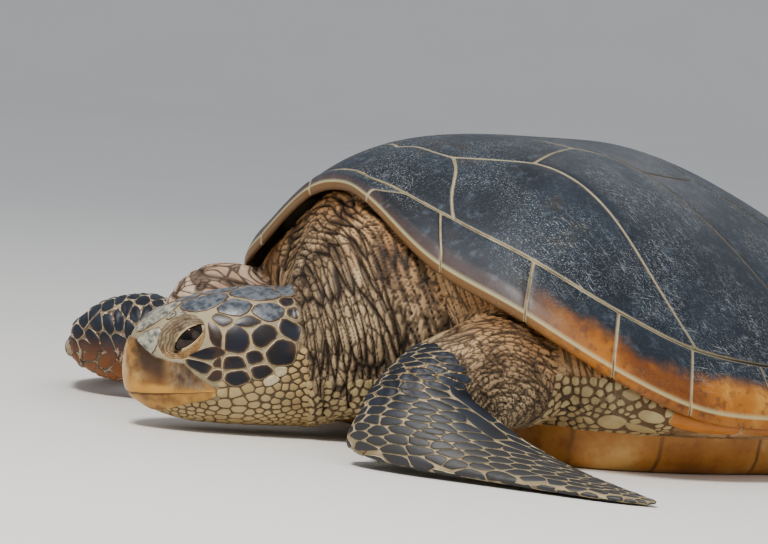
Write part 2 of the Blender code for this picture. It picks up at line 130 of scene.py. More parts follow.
def add(tree, kind, inputs, **settings):
    """Adds a shader node; an input that is a socket is linked, and any other is set."""
    made = tree.nodes.new("ShaderNode" + kind)
    for name, value in settings.items():
        setattr(made, name, value)
    for name, value in inputs.items():
        if isinstance(value, bpy.types.NodeSocket):
            tree.links.new(value, made.inputs[name])
        else:
            made.inputs[name].default_value = linear(value) if isinstance(value, str) else value
    return made


def tree_of(values):
    """The node tree of whichever value is a socket."""
    return next(value.id_data for value in values if isinstance(value, bpy.types.NodeSocket))


def new_finish(name, ior, roughness):
    """A material with a Principled shader, and the object's coordinates in metres."""
    finish = bpy.data.materials.new(name)
    finish.use_nodes = True
    shader = finish.node_tree.nodes["Principled BSDF"]
    shader.inputs["IOR"].default_value = ior
    shader.inputs["Roughness"].default_value = roughness
    return finish, shader, add(finish.node_tree, "TexCoord", {}).outputs["Object"]


def stored(finish, *names):
    """The values that a mesh has on its points under these names."""
    found = [add(finish.node_tree, "Attribute", {}, attribute_name=name).outputs["Fac"] for name in names]
    return found if len(found) > 1 else found[0]


def axes_of(place):
    return add(place.id_data, "SeparateXYZ", {"Vector": place}).outputs


def ramp(value, stops):
    """Colours or greys at places from 0 to 1."""
    made = add(value.id_data, "ValToRGB", {"Fac": value})
    made.color_ramp.interpolation = "EASE"
    while len(made.color_ramp.elements) < len(stops):
        made.color_ramp.elements.new(0.5)
    for element, (place, colour) in zip(made.color_ramp.elements, stops):
        element.position = place
        element.color = linear(colour) if isinstance(colour, str) else (colour, colour, colour, 1)
    return made.outputs["Color"]


def mix(share, first, second):
    """A share from 0 to 1 of the second colour over the first."""
    tree = tree_of((share, first, second))
    return add(tree, "Mix", {"Factor": share, 6: first, 7: second}, data_type="RGBA").outputs[2]


def maths(operation, *values):
    return add(tree_of(values), "Math", dict(enumerate(values)), operation=operation).outputs[0]


def plus(first, second):
    return maths("ADD", first, second)


def times(first, second):
    return maths("MULTIPLY", first, second)


def clouds(place, scale, detail=2.0, rough=0.5):
    """Soft noise; the scale says how many of its patches go to a metre, about."""
    values = {"Vector": place, "Scale": scale, "Detail": detail, "Roughness": rough}
    return add(place.id_data, "TexNoise", values).outputs["Fac"]


def bumps(height, deep, strength=0.5):
    """The normals of a relief that is so many metres deep."""
    values = {"Height": height, "Distance": deep, "Strength": strength}
    return add(height.id_data, "Bump", values).outputs["Normal"]


def join_up(shader, **sockets):
    names = {"colour": "Base Color", "roughness": "Roughness", "normal": "Normal"}
    for key, value in sockets.items():
        value.id_data.links.new(value, shader.inputs[names[key]])


def placed_object(name, mesh, finish):
    """A smooth-shaded object of a mesh and a material."""
    mesh.materials.append(finish)
    mesh.shade_smooth()
    made = bpy.data.objects.new(name, mesh)
    bpy.context.scene.collection.objects.link(made)
    return made


def plain_mesh(name, points, faces):
    mesh = bpy.data.meshes.new(name)
    mesh.from_pydata(np.asarray(points, float).tolist(), [], [tuple(f) for f in faces])
    return mesh


def set_values(mesh, values):
    """Puts named values on a mesh's points, for its material to read."""
    for key, array in values.items():
        layer = mesh.attributes.get(key) or mesh.attributes.new(key, "FLOAT", "POINT")
        layer.data.foreach_set("value", np.asarray(array, np.float32))


def mesh_piece(name, points, faces, finish, values=None):
    """A mesh that rides with the turtle, with values on its points."""
    made = placed_object(name, plain_mesh(name, points, faces), finish)
    set_values(made.data, values or {})
    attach(made, "root")
    return made


def grid_faces(rows, columns, closed=True):
    """Quads between rows of points, each row closed into a ring or left open."""
    faces = []
    for r in range(rows - 1):
        for c in range(columns if closed else columns - 1):
            d = (c + 1) % columns
            faces.append((r * columns + c, r * columns + d, (r + 1) * columns + d, (r + 1) * columns + c))
    return faces


def cap(ring, middle, flip=False):
    """A fan from a ring of point numbers to a middle point."""
    pairs = zip(ring, ring[1:] + ring[:1])
    return [(b, a, middle) if flip else (a, b, middle) for a, b in pairs]


def tube_faces(rows, columns, first=False, last=False):
    """Quads between rings, and fans over the end rings, whose middle points come after all rings."""
    faces = grid_faces(rows, columns)
    if first:
        faces += cap(list(range(columns)), rows * columns, flip=True)
    if last:
        faces += cap([(rows - 1) * columns + i for i in range(columns)], rows * columns + first)
    return faces


# %% [markdown]
# ## Floor
# A plain pale floor: matt, with a faint unevenness. Far out it curves up all round, as in a studio, so that
# no horizon shows.

# %% Floor
FLOOR_FLAT, FLOOR_BEND = 16.0, 6.0       # radius of the flat part, and of the rounded rise beyond it
floor_paint, shader, place = new_finish("matt_floor_paint", 1.45, 0.85)
cloud = clouds(place, 1.5, 3.0)
join_up(shader, colour=mix(cloud, "#e9e7e3", "#eeece8"))
ROUND = 96
profile = [(FLOOR_FLAT * t, 0.0) for t in (0.01, 0.05, 0.12, 0.25, 0.5, 0.75, 1.0)]
for bend in np.radians(range(6, 91, 6)):
    profile.append((FLOOR_FLAT + FLOOR_BEND * math.sin(bend), FLOOR_BEND * (1 - math.cos(bend))))
turns = np.arange(ROUND) / ROUND * 2 * math.pi
spots = [(r * math.cos(a), r * math.sin(a), z) for r, z in profile for a in turns]
floor_mesh = plain_mesh("floor", [*spots, (0, 0, 0)], tube_faces(len(profile), ROUND, first=True))
floor = placed_object("floor", floor_mesh, floor_paint)

# %% [markdown]
# ## The dome of the shell
# The carapace is one curved surface, and every plate is a patch of it. So the surface is a formula: the rim
# is a smooth closed curve, a point is told by its angle from the front and by how far out it lies towards
# the rim, and its height follows from both. It is the same formula as the solids have, so the fine plates
# lie on them.

# %% The dome
SHELL_TOP = CAD_BOX[1][2]
DOME_CENTRE_Y = -0.13
RIM_EDGE = 0.016               # the blunt edge of the rim is so thick
PLATE = 0.011                  # the under face of the rim's plates lies so deep
DOME_POWER, FRONT_POWER = 2.1, 2.0     # how full the dome is, and how much fuller in front
REAR_DIP = 0.38                # how much it falls off behind
RIM = np.array((
    (0.000, -0.460, 0.272), (0.065, -0.462, 0.258), (0.170, -0.447, 0.202), (0.275, -0.405, 0.160),
    (0.345, -0.330, 0.108), (0.374, -0.235, 0.070), (0.379, -0.130, 0.060), (0.366, 0.000, 0.062),
    (0.333, 0.140, 0.075), (0.270, 0.280, 0.094), (0.172, 0.390, 0.112), (0.060, 0.450, 0.115),
    (0.000, 0.460, 0.110),
))


def spline(a, b, c, d, t):
    """A Catmull-Rom curve from b to c that comes from a and goes on to d."""
    return 0.5 * (2 * b + (c - a) * t + (2 * a - 5 * b + 4 * c - d) * t ** 2
                  + (3 * b - a - 3 * c + d) * t ** 3)


def smooth_closed(points, steps):
    """A smooth curve through a closed run of points."""
    four = [np.roll(points, shift, 0) for shift in (1, 0, -1, -2)]
    return np.stack([spline(*four, t) for t in np.arange(steps) / steps], 1).reshape(-1, points.shape[1])


rim_run = smooth_closed(np.vstack([RIM, RIM[-2:0:-1] * (-1, 1, 1)]), 16)
rim_angle = np.arctan2(rim_run[:, 0], DOME_CENTRE_Y - rim_run[:, 1])
rim_order = np.argsort(rim_angle)
rim_reach = np.hypot(rim_run[:, 0], rim_run[:, 1] - DOME_CENTRE_Y)


def rim_at(angle):
    """Distance from the dome's centre to the rim, and the height of its lower edge."""
    angles = rim_angle[rim_order]
    return (np.interp(angle, angles, rim_reach[rim_order], period=2 * np.pi),
            np.interp(angle, angles, rim_run[rim_order, 2], period=2 * np.pi))


def plan(out, angle):
    out, angle = np.broadcast_arrays(out, angle)
    reach = rim_at(angle)[0] * out
    return np.stack([reach * np.sin(angle), DOME_CENTRE_Y - reach * np.cos(angle)], -1)


def dome_height(x, y):
    angle = np.arctan2(x, DOME_CENTRE_Y - y)
    reach, height = rim_at(angle)
    out = np.hypot(x, y - DOME_CENTRE_Y) / reach
    front = ((1 + np.cos(angle)) / 2) ** 3
    rear = ((1 - np.cos(angle)) / 2) ** 2
    edge = height + RIM_EDGE
    return (edge + (SHELL_TOP - edge) * (1 - out ** (DOME_POWER + FRONT_POWER * front))
            - REAR_DIP * rear * out ** 2 * (1 - out))


def dome(spot, depth):
    """Points of the dome over plan points, moved inwards along the surface's normal."""
    x, y = spot[..., 0], spot[..., 1]
    step = 0.002
    slope_x = (dome_height(x + step, y) - dome_height(x - step, y)) / (2 * step)
    slope_y = (dome_height(x, y + step) - dome_height(x, y - step)) / (2 * step)
    normal = np.stack([-slope_x, -slope_y, np.ones_like(x)], -1)
    normal /= np.linalg.norm(normal, axis=-1, keepdims=True)
    return np.stack([x, y, dome_height(x, y)], -1) - normal * np.asarray(depth)[..., None]


def inner_line(angle):
    """How far out the marginal plates start: nearly at the rim over the neck, wider behind."""
    turn = np.abs(np.degrees(np.asarray(angle, float)))
    turn = np.minimum(turn, 360 - turn)
    over_neck = 1 - np.clip((turn - 8) / 22, 0, 1)
    behind = np.clip((turn - 110) / 60, 0, 1)
    return 0.905 + 0.060 * over_neck ** 1.5 - 0.035 * behind


shell_wide, shell_long = np.ptp(rim_run[:, :2], axis=0)
print("shell", round(float(shell_wide), 3), "m wide,", round(float(shell_long), 3), "m long")

# %% [markdown]
# ## Horn of the plates
# A green turtle's plates are keratin over bone: charcoal to blue-grey when worn, with brown clouds, and
# dulled by fine pale scratches from reef and sand. Keratin's index is about 1.55. Real scratches are 0.1 to
# 0.3 mm wide, too fine to show here, so they are drawn about a millimetre wide. They run in a few
# directions, so each layer is a noise stretched along one of them, with its brightest places kept. Towards
# a plate's edge the horn turns to the colour of the seam, which is cream in front and brown near the tail.
# The rim's plates are the same horn, amber to orange towards the edge along the sides and behind, where the
# pigment is thin.


# %% Horn finishes
SCRATCH_TURNS = ((0.0, 0.1, 1.5), (0.0, 0.75, 0.4), (0.0, 0.8, 1.0), (0.0, -0.7, -0.6), (0.0, 0.4, 2.1),
                 (0.6, -0.4, 0.2))
SCRATCH_WIDE, SCRATCH_STRETCH = 1.3 * MM, 36
SCRATCH_CUT = 0.655            # noise above this is a scratch


def scratches(place):
    """Thin pale lines, the same on both sides of the shell."""
    parts = axes_of(place)
    one_side = maths("ABSOLUTE", parts["X"])
    both = add(place.id_data, "CombineXYZ", {"X": one_side, "Y": parts["Y"], "Z": parts["Z"]})
    long_grain = (SCRATCH_WIDE * SCRATCH_STRETCH, SCRATCH_WIDE, SCRATCH_WIDE)
    total = None
    for k, turn in enumerate(SCRATCH_TURNS):
        grain = {"Vector": both.outputs[0], "Location": (k * 3.7, k * 1.9, 0), "Rotation": turn,
                 "Scale": long_grain}
        along = add(place.id_data, "Mapping", grain, vector_type="TEXTURE")
        line = clouds(along.outputs["Vector"], 1.0, 1.0)
        line = ramp(line, ((SCRATCH_CUT, 0.0), (SCRATCH_CUT + 0.09, 1.0)))
        total = line if total is None else maths("MAXIMUM", total, line)
    return total


def horn_finish(name, rim):
    finish, shader, place = new_finish(name, 1.55, 0.45)
    edge, tone = stored(finish, "edge", "tone")
    cloud = clouds(place, 9.0, 5.0, 0.62)
    fine = clouds(place, 90.0, 4.0, 0.6)
    base = ramp(cloud, ((0.30, "#0b0e15"), (0.47, "#161c27"), (0.58, "#242d39"), (0.70, "#3b352d")))
    brown = add(place.id_data, "TexNoise", {"Vector": place, "Scale": 4.2, "Detail": 3.0, "W": 3.0},
                noise_dimensions="4D").outputs["Fac"]
    base = mix(ramp(brown, ((0.52, 0.0), (0.66, 0.55))), base, "#4b3f38")
    base = mix(times(tone, 0.20), base, "#465463")
    worn = ramp(fine, ((0.52, 0.0), (0.72, 0.5)))
    base = mix(worn, base, "#56606c")
    if rim:
        across, amber_side = stored(finish, "across", "amber")
        wobble = maths("MULTIPLY_ADD", cloud, 0.7, -0.35)
        amber_share = ramp(plus(across, wobble), ((0.36, 0.0), (0.62, 1.0)))
        amber = ramp(cloud, ((0.34, "#7c481a"), (0.50, "#ab6d28"), (0.64, "#c18f48")))
        amber = mix(ramp(fine, ((0.52, 0.0), (0.66, 0.55))), amber, "#5a3019")
        rosy = ramp(plus(across, wobble), ((0.60, 0.0), (0.95, 0.4)))
        front = mix(rosy, base, "#7d6154")
        front = mix(ramp(across, ((0.96, 0.0), (1.0, 1.0))), front, "#7d5c38")
        base = mix(amber_side, front, mix(amber_share, base, amber))
        base = mix(ramp(across, ((0.90, 0.0), (0.97, 0.75), (1.0, 0.0))), base, "#c4bd92")
    lines = scratches(place)
    patches = clouds(place, 11.0, 3.0)
    lines = times(lines, ramp(patches, ((0.38, 0.15), (0.62, 1.0))))
    if rim:
        lines = times(lines, ramp(across, ((0.35, 1.0), (0.7, 0.25))))
    base = mix(times(lines, 0.66), base, "#aeb2b0")
    brown_share = ramp(plus(axes_of(place)["Y"], 0.35), ((0.06, 0.0), (0.26, 0.9)))
    seam_colour = mix(brown_share, "#c0b394", "#67553c")
    frayed = plus(edge, times(fine, 0.07))
    base = mix(ramp(frayed, ((0.03, 0.85), (0.06, 0.55), (0.12, 0.0))), base, seam_colour)
    relief = maths("SUBTRACT", fine, times(lines, 0.4))
    bump = bumps(relief, 0.0006)
    rough = ramp(plus(cloud, times(lines, 0.3)),
                 ((0.30, 0.42), (0.75, 0.66)))
    join_up(shader, colour=base, roughness=rough, normal=bump)
    return finish


back_horn = horn_finish("back_keratin", rim=False)
rim_horn = horn_finish("rim_keratin", rim=True)

# %% [markdown]
# ## Plates of the back
# Five vertebral plates lie along the middle, and four costal plates on each side of them. The seams are
# told in plan, and everything else follows from the dome. A plate is a fan of rings round its middle,
# closer together at the edge, where the horn rounds over into the seam. Faint ridges run round it, one for
# each spell of growth.

# %% Seams in plan
SPINE = (-0.447, -0.388, -0.240, -0.060, 0.125, 0.385)
SEAM_END = ((0.080, -0.367), (0.105, -0.225), (0.098, -0.045), (0.085, 0.130))
SIDE_CORNER = ((0.142, -0.303), (0.138, -0.147), (0.135, 0.045))
COSTAL_AT_MARGIN = (29, 76, 113, 139, 159)
MARGINAL_RIM = (10, 30, 46, 60, 73, 90, 107, 122, 136, 148, 159, 170, 180)
MARGINAL_INNER = (17, 26, 46, 61, 75, 90, 107, 122, 136, 148, 159, 170, 180)
SEAM_STEP = 0.006
SWAY = 0.025                   # as a share of a seam's length


def seam_run(start, end, sway=0.0):
    """Plan points along a seam, without its end; its sway is the same from either end."""
    start, end = np.array(start, float), np.array(end, float)
    length = np.linalg.norm(end - start)
    count = max(3, int(length / SEAM_STEP))
    side = np.array([start[1] - end[1], end[0] - start[0]])
    share = np.arange(count) / count
    return start + (end - start) * share[:, None] + side * (sway * np.sin(2 * np.pi * share))[:, None]


def margin_run(start, end):
    """Plan points along the marginal plates' inner line, between angles in degrees, without the end."""
    count = max(4, int(abs(end - start) / 1.2))
    angle = np.radians(start + (end - start) * np.arange(count) / count)
    return plan(inner_line(angle), angle)


def at_margin(number):
    angle = math.radians(COSTAL_AT_MARGIN[number])
    return plan(inner_line(angle), angle)


def mirrored(points):
    return (points * (-1, 1))[::-1]


def vertebral_half(number):
    """A vertebral plate's outline on the left side, from the front of the midline to its rear."""
    front, rear = (0, SPINE[number - 1]), np.array([[0, SPINE[number]]])
    if number == 1:
        return np.vstack([margin_run(0, COSTAL_AT_MARGIN[0]), seam_run(at_margin(0), SEAM_END[0], SWAY),
                          seam_run(SEAM_END[0], rear[0], SWAY), rear])
    half = [seam_run(front, SEAM_END[number - 2], SWAY)]
    if number == 5:
        half += [seam_run(SEAM_END[3], at_margin(4), SWAY), margin_run(COSTAL_AT_MARGIN[4], 180)]
        return np.vstack(half + [plan(inner_line(math.pi), math.pi)[None]])
    corner = SIDE_CORNER[number - 2]
    half += [seam_run(SEAM_END[number - 2], corner), seam_run(corner, SEAM_END[number - 1])]
    return np.vstack(half + [seam_run(SEAM_END[number - 1], rear[0], SWAY), rear])


def costal_outline(number):
    """A left costal plate: along the margin, up its rear seam, past the vertebral plates and down again."""
    inner = {1: (SIDE_CORNER[0], SEAM_END[0]), 4: (SEAM_END[3], SIDE_CORNER[2])}.get(number)
    if inner is None:
        inner = (SIDE_CORNER[number - 1], SEAM_END[number - 1], SIDE_CORNER[number - 2])
    outline = [margin_run(COSTAL_AT_MARGIN[number - 1], COSTAL_AT_MARGIN[number]),
               seam_run(at_margin(number), inner[0], SWAY)]
    outline += [seam_run(start, end) for start, end in zip(inner, inner[1:])]
    return np.vstack(outline + [seam_run(inner[-1], at_margin(number - 1), SWAY)])


# %% Plates of the back
SEAM_HALF = 0.8 * MM           # half the groove between two plates
PLATE_DEEP = 3.2 * MM
RING_SHARES = np.array((0.1, 0.22, 0.34, 0.46, 0.57, 0.67, 0.76, 0.84, 0.90, 0.94, 0.965, 0.982, 0.993, 1.0))
EDGE_SCALE = 0.02              # an edge value of 1 is 20 mm from the plate's edge
EDGE_DROP, EDGE_ROUND = 1.1 * MM, 2.2 * MM
RIDGE_HIGH, RIDGE_SPACING, RIDGES_FADE = 0.16 * MM, 4.5 * MM, 30 * MM
UNEVEN = 0.5 * MM
dice = random.Random(7)


def distance_to_outline(points, outline):
    """The shortest way from each point to a closed outline, in plan."""
    start, run = outline, np.roll(outline, -1, 0) - outline
    away = points[:, None] - start
    share = np.clip((away * run).sum(-1) / np.maximum((run ** 2).sum(-1), 1e-12), 0, 1)
    return np.linalg.norm(away - run * share[..., None], axis=-1).min(1)


def back_plate(name, outline):
    centre = outline.mean(0)
    away = outline - centre
    away = away * (1 - SEAM_HALF / np.linalg.norm(away, axis=1, keepdims=True))
    count, rings = len(outline), len(RING_SHARES)
    spots = (centre + RING_SHARES[:, None, None] * away).reshape(-1, 2)
    spots = np.vstack([spots, centre])
    inward = distance_to_outline(spots, centre + away)
    tone = dice.random()
    swell = np.array([noise.noise(Vector((x * 14, y * 14, tone * 9))) for x, y in spots]) * UNEVEN
    ridges = RIDGE_HIGH * np.sin(inward / RIDGE_SPACING * 2 * np.pi) * np.exp(-inward / RIDGES_FADE)
    depth = EDGE_DROP * np.exp(-inward / EDGE_ROUND) - ridges - swell + UNEVEN
    outer = dome(spots, depth)
    under = (centre + np.array((1.0, 0.6, 0.25))[:, None, None] * away).reshape(-1, 2)
    under = dome(np.vstack([under, centre]), PLATE_DEEP)
    points = np.vstack([outer, under])
    faces = tube_faces(rings, count, first=True)
    last, first = (rings - 1) * count, rings * count + 1
    for i in range(count):
        j = (i + 1) % count
        faces.append((last + i, last + j, first + j, first + i))
    faces += [tuple(first + v for v in face) for face in tube_faces(3, count, last=True)]
    edge = np.concatenate([inward / EDGE_SCALE, np.zeros(len(under))])
    made = mesh_piece(name + "_horn", points, faces, back_horn,
                      {"edge": edge, "tone": np.full(len(points), tone)})
    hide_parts(name)


for number in range(1, 6):
    half = vertebral_half(number)
    back_plate(f"vertebral_{number}", np.vstack([half, mirrored(half)[1:-1]]))
for number in range(1, 5):
    outline = costal_outline(number)
    back_plate(f"costal_left_{number}", outline)
    back_plate(f"costal_right_{number}", mirrored(outline))

# %% [markdown]
# ## Plates of the rim
# The nuchal plate over the neck and twelve marginal plates on each side wrap round the edge of the shell.
# Each is a section carried along the rim: the outer face, the blunt edge and the under face. Its two ends
# are tucked in a little, which rounds them into the seams.


# %% Plates of the rim
def smooth_open(points, steps):
    """A smooth curve through an open run of points."""
    points = np.vstack([2 * points[0] - points[1], points, 2 * points[-1] - points[-2]])
    fours = zip(points, points[1:], points[2:], points[3:])
    return np.array([spline(*four, t) for four in fours for t in np.arange(steps) / steps] + [points[-2]])


SECTION_STEPS = 4


def rim_section(rim_at_angle, inner_at_angle, tuck):
    """A marginal plate cut through, with how far across the plate each point is: 1 is the rim's edge."""
    start = float(inner_line(inner_at_angle)) + SEAM_HALF / rim_at(inner_at_angle)[0]
    section = []
    for share, depth in ((0, 1.1 * MM), (0.08, 0.3 * MM), (0.35, 0), (0.65, 0), (0.88, 0.2 * MM)):
        out = start + (0.996 - start) * share
        angle = inner_at_angle + (rim_at_angle - inner_at_angle) * share
        section.append(dome(plan(out, angle), depth + tuck))
    reach, height = rim_at(rim_at_angle)
    section.append(np.array([*plan(1.0 - tuck / reach, rim_at_angle), height + RIM_EDGE / 2]))
    section.append(np.array([*plan(0.988 - tuck / reach, rim_at_angle), height + tuck]))
    for share in (0.5, 0.0):
        angle = inner_at_angle + (rim_at_angle - inner_at_angle) * share
        section.append(dome(plan(start + (1 - start) * share, angle), PLATE - tuck))
    return smooth_open(np.array(section), SECTION_STEPS)


def amber_at(points):
    """The front of the rim is dark; along the sides and behind, its lower half is amber."""
    angle = np.abs(np.degrees(np.arctan2(points[:, 0], DOME_CENTRE_Y - points[:, 1])))
    return np.clip((angle - 44) / 14, 0, 1)


def rim_plate(name, rim_span, inner_span, side):
    shares = np.concatenate([[0, 0.012, 0.035], np.linspace(0.08, 0.92, 11), [0.965, 0.988, 1]])
    tucks = 1.2 * MM * np.exp(-np.minimum(shares, 1 - shares) / 0.018)
    rows, edge = [], []
    for share, tuck in zip(shares, tucks):
        inset = (1 - 2 * share) * SEAM_HALF
        angles = []
        for start, end in (rim_span, inner_span):
            angle = math.radians(start + (end - start) * share)
            angles.append((angle + inset / rim_at(angle)[0]) * side)
        rows.append(rim_section(*angles, tuck))
        width = math.radians(rim_span[1] - rim_span[0]) * rim_at(angles[0])[0]
        along = min(share, 1 - share) * width
        from_top = np.linalg.norm(rows[-1] - rows[-1][0], axis=1)
        edge.append(np.minimum(along, from_top) / EDGE_SCALE)
    points = np.array(rows)
    if side < 0:
        points = points[::-1]
        edge = edge[::-1]
    count = points.shape[1]
    across = np.tile(np.interp(np.arange(count), (0, 5 * SECTION_STEPS, count - 1), (0, 1, 2)), len(rows))
    flat = points.reshape(-1, 3)
    ends = [flat[:count].mean(0), flat[-count:].mean(0)]
    faces = [face[::-1] for face in grid_faces(len(rows), count)]
    base = (len(rows) - 1) * count
    faces += cap(list(range(count)), len(flat))
    faces += cap([base + i for i in range(count)], len(flat) + 1, flip=True)
    made = mesh_piece(name + "_horn", np.vstack([flat, ends]), faces, rim_horn, {
        "edge": np.concatenate([np.concatenate(edge), [0, 0]]), "across": np.concatenate([across, [1, 1]]),
        "tone": np.full(len(flat) + 2, dice.random()), "amber": amber_at(np.vstack([flat, ends]))})
    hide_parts(name)


rim_plate("nuchal", (-MARGINAL_RIM[0], MARGINAL_RIM[0]), (-MARGINAL_INNER[0], MARGINAL_INNER[0]), 1)
for side, word in ((1, "left"), (-1, "right")):
    for k in range(12):
        rim_plate(f"marginal_{word}_{k + 1}", MARGINAL_RIM[k:k + 2], MARGINAL_INNER[k:k + 2], side)

# %% [markdown]
# ## Seams
# Between the plates the younger horn shows as lines, 2 mm or so wide and a little below the plates' faces:
# cream in front, and nearly black towards the tail, where dirt fills them. One closed bed of that horn lies
# under all plates and shows in the grooves.

# %% Seam bed
seam_horn, shader, place = new_finish("seam_keratin", 1.55, 0.55)
cloud = clouds(place, 22.0, 4.0)
pale_seam = ramp(cloud, ((0.32, "#6e5a42"), (0.48, "#b3a380"), (0.66, "#cfc4a6")))
wander = maths("MULTIPLY_ADD", cloud, 0.25, 0.22)
dark_share = ramp(plus(axes_of(place)["Y"], wander), ((0.06, 0.0), (0.24, 0.9)))
join_up(shader, colour=mix(dark_share, pale_seam, "#1c1612"))
BED_DEPTH = 2.0 * MM
bed_angles = np.arange(0, 360, 2.0)
columns = []
for turn in bed_angles:
    turned = turn if turn <= 180 else turn - 360
    inner_turn = math.copysign(np.interp(abs(turned), (0,) + MARGINAL_RIM, (0,) + MARGINAL_INNER), turned)
    edge_angle, inner_angle = math.radians(turned), math.radians(inner_turn)
    start = float(inner_line(inner_angle))
    outs = np.linspace(0.03, start - 0.01, 28)
    column = dome(plan(outs, inner_angle), BED_DEPTH)
    columns.append(np.vstack([column, rim_section(edge_angle, inner_angle, BED_DEPTH)]))
points = np.stack(columns, 1)
rows, count = points.shape[:2]
flat = points.reshape(-1, 3)
poles = [dome(np.array([0, DOME_CENTRE_Y]), depth) for depth in (BED_DEPTH, PLATE)]
faces = tube_faces(rows, count, first=True, last=True)
seam_bed = mesh_piece("seam_bed", np.vstack([flat, poles]), faces, seam_horn)

# %% [markdown]
# ## Flesh
# The soft body is one skin, so it starts as closed lofts that run into each other: the trunk between rim
# and plastron, the neck, the head, four flippers with their upper arms, and the tail. Stations tell where
# each is and how thick, as in the solids. A voxel remesh then takes the outside of them all as one surface.

# %% Lofts of the flesh
HEAD_LENGTH = 0.195
HEAD_YAW, HEAD_PITCH = math.radians(24), math.radians(-10)
HEAD_REAR = np.array((-0.005, -0.490, 0.090))
HEAD_AHEAD = np.array((-math.sin(HEAD_YAW) * math.cos(HEAD_PITCH), -math.cos(HEAD_YAW) * math.cos(HEAD_PITCH),
                       math.sin(HEAD_PITCH)))
HEAD_LEFT = np.array((math.cos(HEAD_YAW), -math.sin(HEAD_YAW), 0))
HEAD_UP = np.cross(HEAD_AHEAD, HEAD_LEFT)
PLASTRON_TOP = 0.046
SKIN_REACH, SKIN_BELOW_RIM, PLATE_BED = 0.955, 0.004, 0.0175

HEAD_SECTIONS = (
    (0.00, 0.066, 0.074, -0.080), (0.25, 0.070, 0.081, -0.073), (0.50, 0.065, 0.079, -0.065),
    (0.70, 0.054, 0.072, -0.056), (0.85, 0.040, 0.060, -0.043), (0.94, 0.026, 0.043, -0.030),
    (0.985, 0.014, 0.022, -0.020), (1.00, 0.004, 0.008, -0.010),
)
NECK = (
    (0.000, -0.360, 0.150, 0.200, 0.110, 0.0), (0.000, -0.425, 0.148, 0.165, 0.122, 0.0),
    (-0.003, -0.461, 0.125, 0.112, 0.110, 0.5), (-0.005, -0.490, 0.088, 0.074, 0.080, 1.0),
)
ARM_LEFT = (
    (0.190, -0.270, 0.118, 0.072, 0.058), (0.233, -0.370, 0.106, 0.062, 0.064),
    (0.238, -0.460, 0.082, 0.060, 0.056), (0.234, -0.518, 0.058, 0.046, 0.041),
    (0.229, -0.550, 0.046, 0.024, 0.022),
)
ARM_RIGHT = (
    (-0.190, -0.270, 0.116, 0.070, 0.058), (-0.230, -0.355, 0.097, 0.062, 0.055),
    (-0.257, -0.443, 0.104, 0.047, 0.066), (-0.291, -0.474, 0.081, 0.050, 0.040),
    (-0.330, -0.497, 0.073, 0.054, 0.052), (-0.366, -0.530, 0.064, 0.046, 0.047),
    (-0.393, -0.557, 0.056, 0.026, 0.025),
)
BLADE_LEFT = (
    ((0.208, -0.562, 0.024), (0.236, -0.522, 0.088), 0.028),
    ((0.240, -0.576, 0.015), (0.268, -0.503, 0.096), 0.034),
    ((0.302, -0.553, 0.008), (0.305, -0.477, 0.080), 0.030),
    ((0.370, -0.515, 0.007), (0.338, -0.438, 0.046), 0.024),
    ((0.440, -0.475, 0.006), (0.394, -0.413, 0.022), 0.017),
    ((0.496, -0.438, 0.004), (0.464, -0.402, 0.011), 0.011),
    ((0.530, -0.404, 0.003), (0.520, -0.396, 0.005), 0.006),
)
BLADE_RIGHT = (
    ((0.390, -0.570, 0.042), (0.388, -0.503, 0.088), 0.030),
    ((0.422, -0.555, 0.047), (0.410, -0.478, 0.088), 0.033),
    ((0.474, -0.520, 0.040), (0.436, -0.450, 0.070), 0.029),
    ((0.522, -0.462, 0.022), (0.470, -0.408, 0.042), 0.023),
    ((0.560, -0.395, 0.010), (0.512, -0.360, 0.020), 0.017),
    ((0.582, -0.340, 0.005), (0.554, -0.325, 0.010), 0.011),
    ((0.590, -0.300, 0.003), (0.580, -0.296, 0.005), 0.006),
)
HIND = (
    ((0.185, 0.330, 0.070), (0.105, 0.335, 0.070), 0.070),
    ((0.262, 0.395, 0.026), (0.150, 0.420, 0.040), 0.045),
    ((0.315, 0.480, 0.009), (0.190, 0.500, 0.016), 0.022),
    ((0.335, 0.560, 0.006), (0.235, 0.570, 0.008), 0.014),
    ((0.318, 0.610, 0.004), (0.275, 0.612, 0.005), 0.008),
)
TAIL = (
    (0, 0.330, 0.062, 0.042, 0.036), (0, 0.430, 0.050, 0.034, 0.030), (0, 0.510, 0.024, 0.022, 0.020),
    (0, 0.560, 0.012, 0.010, 0.010),
)
FINE = 9                       # rings between two stations


def smooth_at(keys, t):
    """Values at t on a smooth curve through rows of (place, values...)."""
    keys = np.asarray(keys, float)
    spot, values = keys[:, 0], keys[:, 1:]
    slopes = np.gradient(values, spot, axis=0)
    i = int(np.clip(np.searchsorted(spot, t, side="right") - 1, 0, len(spot) - 2))
    span = spot[i + 1] - spot[i]
    s = (t - spot[i]) / span
    return ((1 + 2 * s) * (1 - s) ** 2 * values[i] + s * (1 - s) ** 2 * span * slopes[i]
            + s ** 2 * (3 - 2 * s) * values[i + 1] + s ** 2 * (s - 1) * span * slopes[i + 1])


def oval(count, power):
    angle = np.arange(count) / count * 2 * np.pi
    c, s = np.cos(angle), np.sin(angle)
    return np.stack([np.sign(c) * np.abs(c) ** (2 / power), np.sign(s) * np.abs(s) ** (2 / power)], 1)


def on_head(along, side, above):
    return HEAD_REAR + HEAD_AHEAD * along + HEAD_LEFT * side + HEAD_UP * above


def between(stations, reach):
    """Values on smooth curves through the stations, and how they change within a reach to either side."""
    keys = [(k, *station) for k, station in enumerate(stations)]
    last = len(stations) - 1
    for t in np.linspace(0, last, last * FINE + 1):
        yield smooth_at(keys, t), smooth_at(keys, min(t + reach, last)) - smooth_at(keys, max(t - reach, 0))


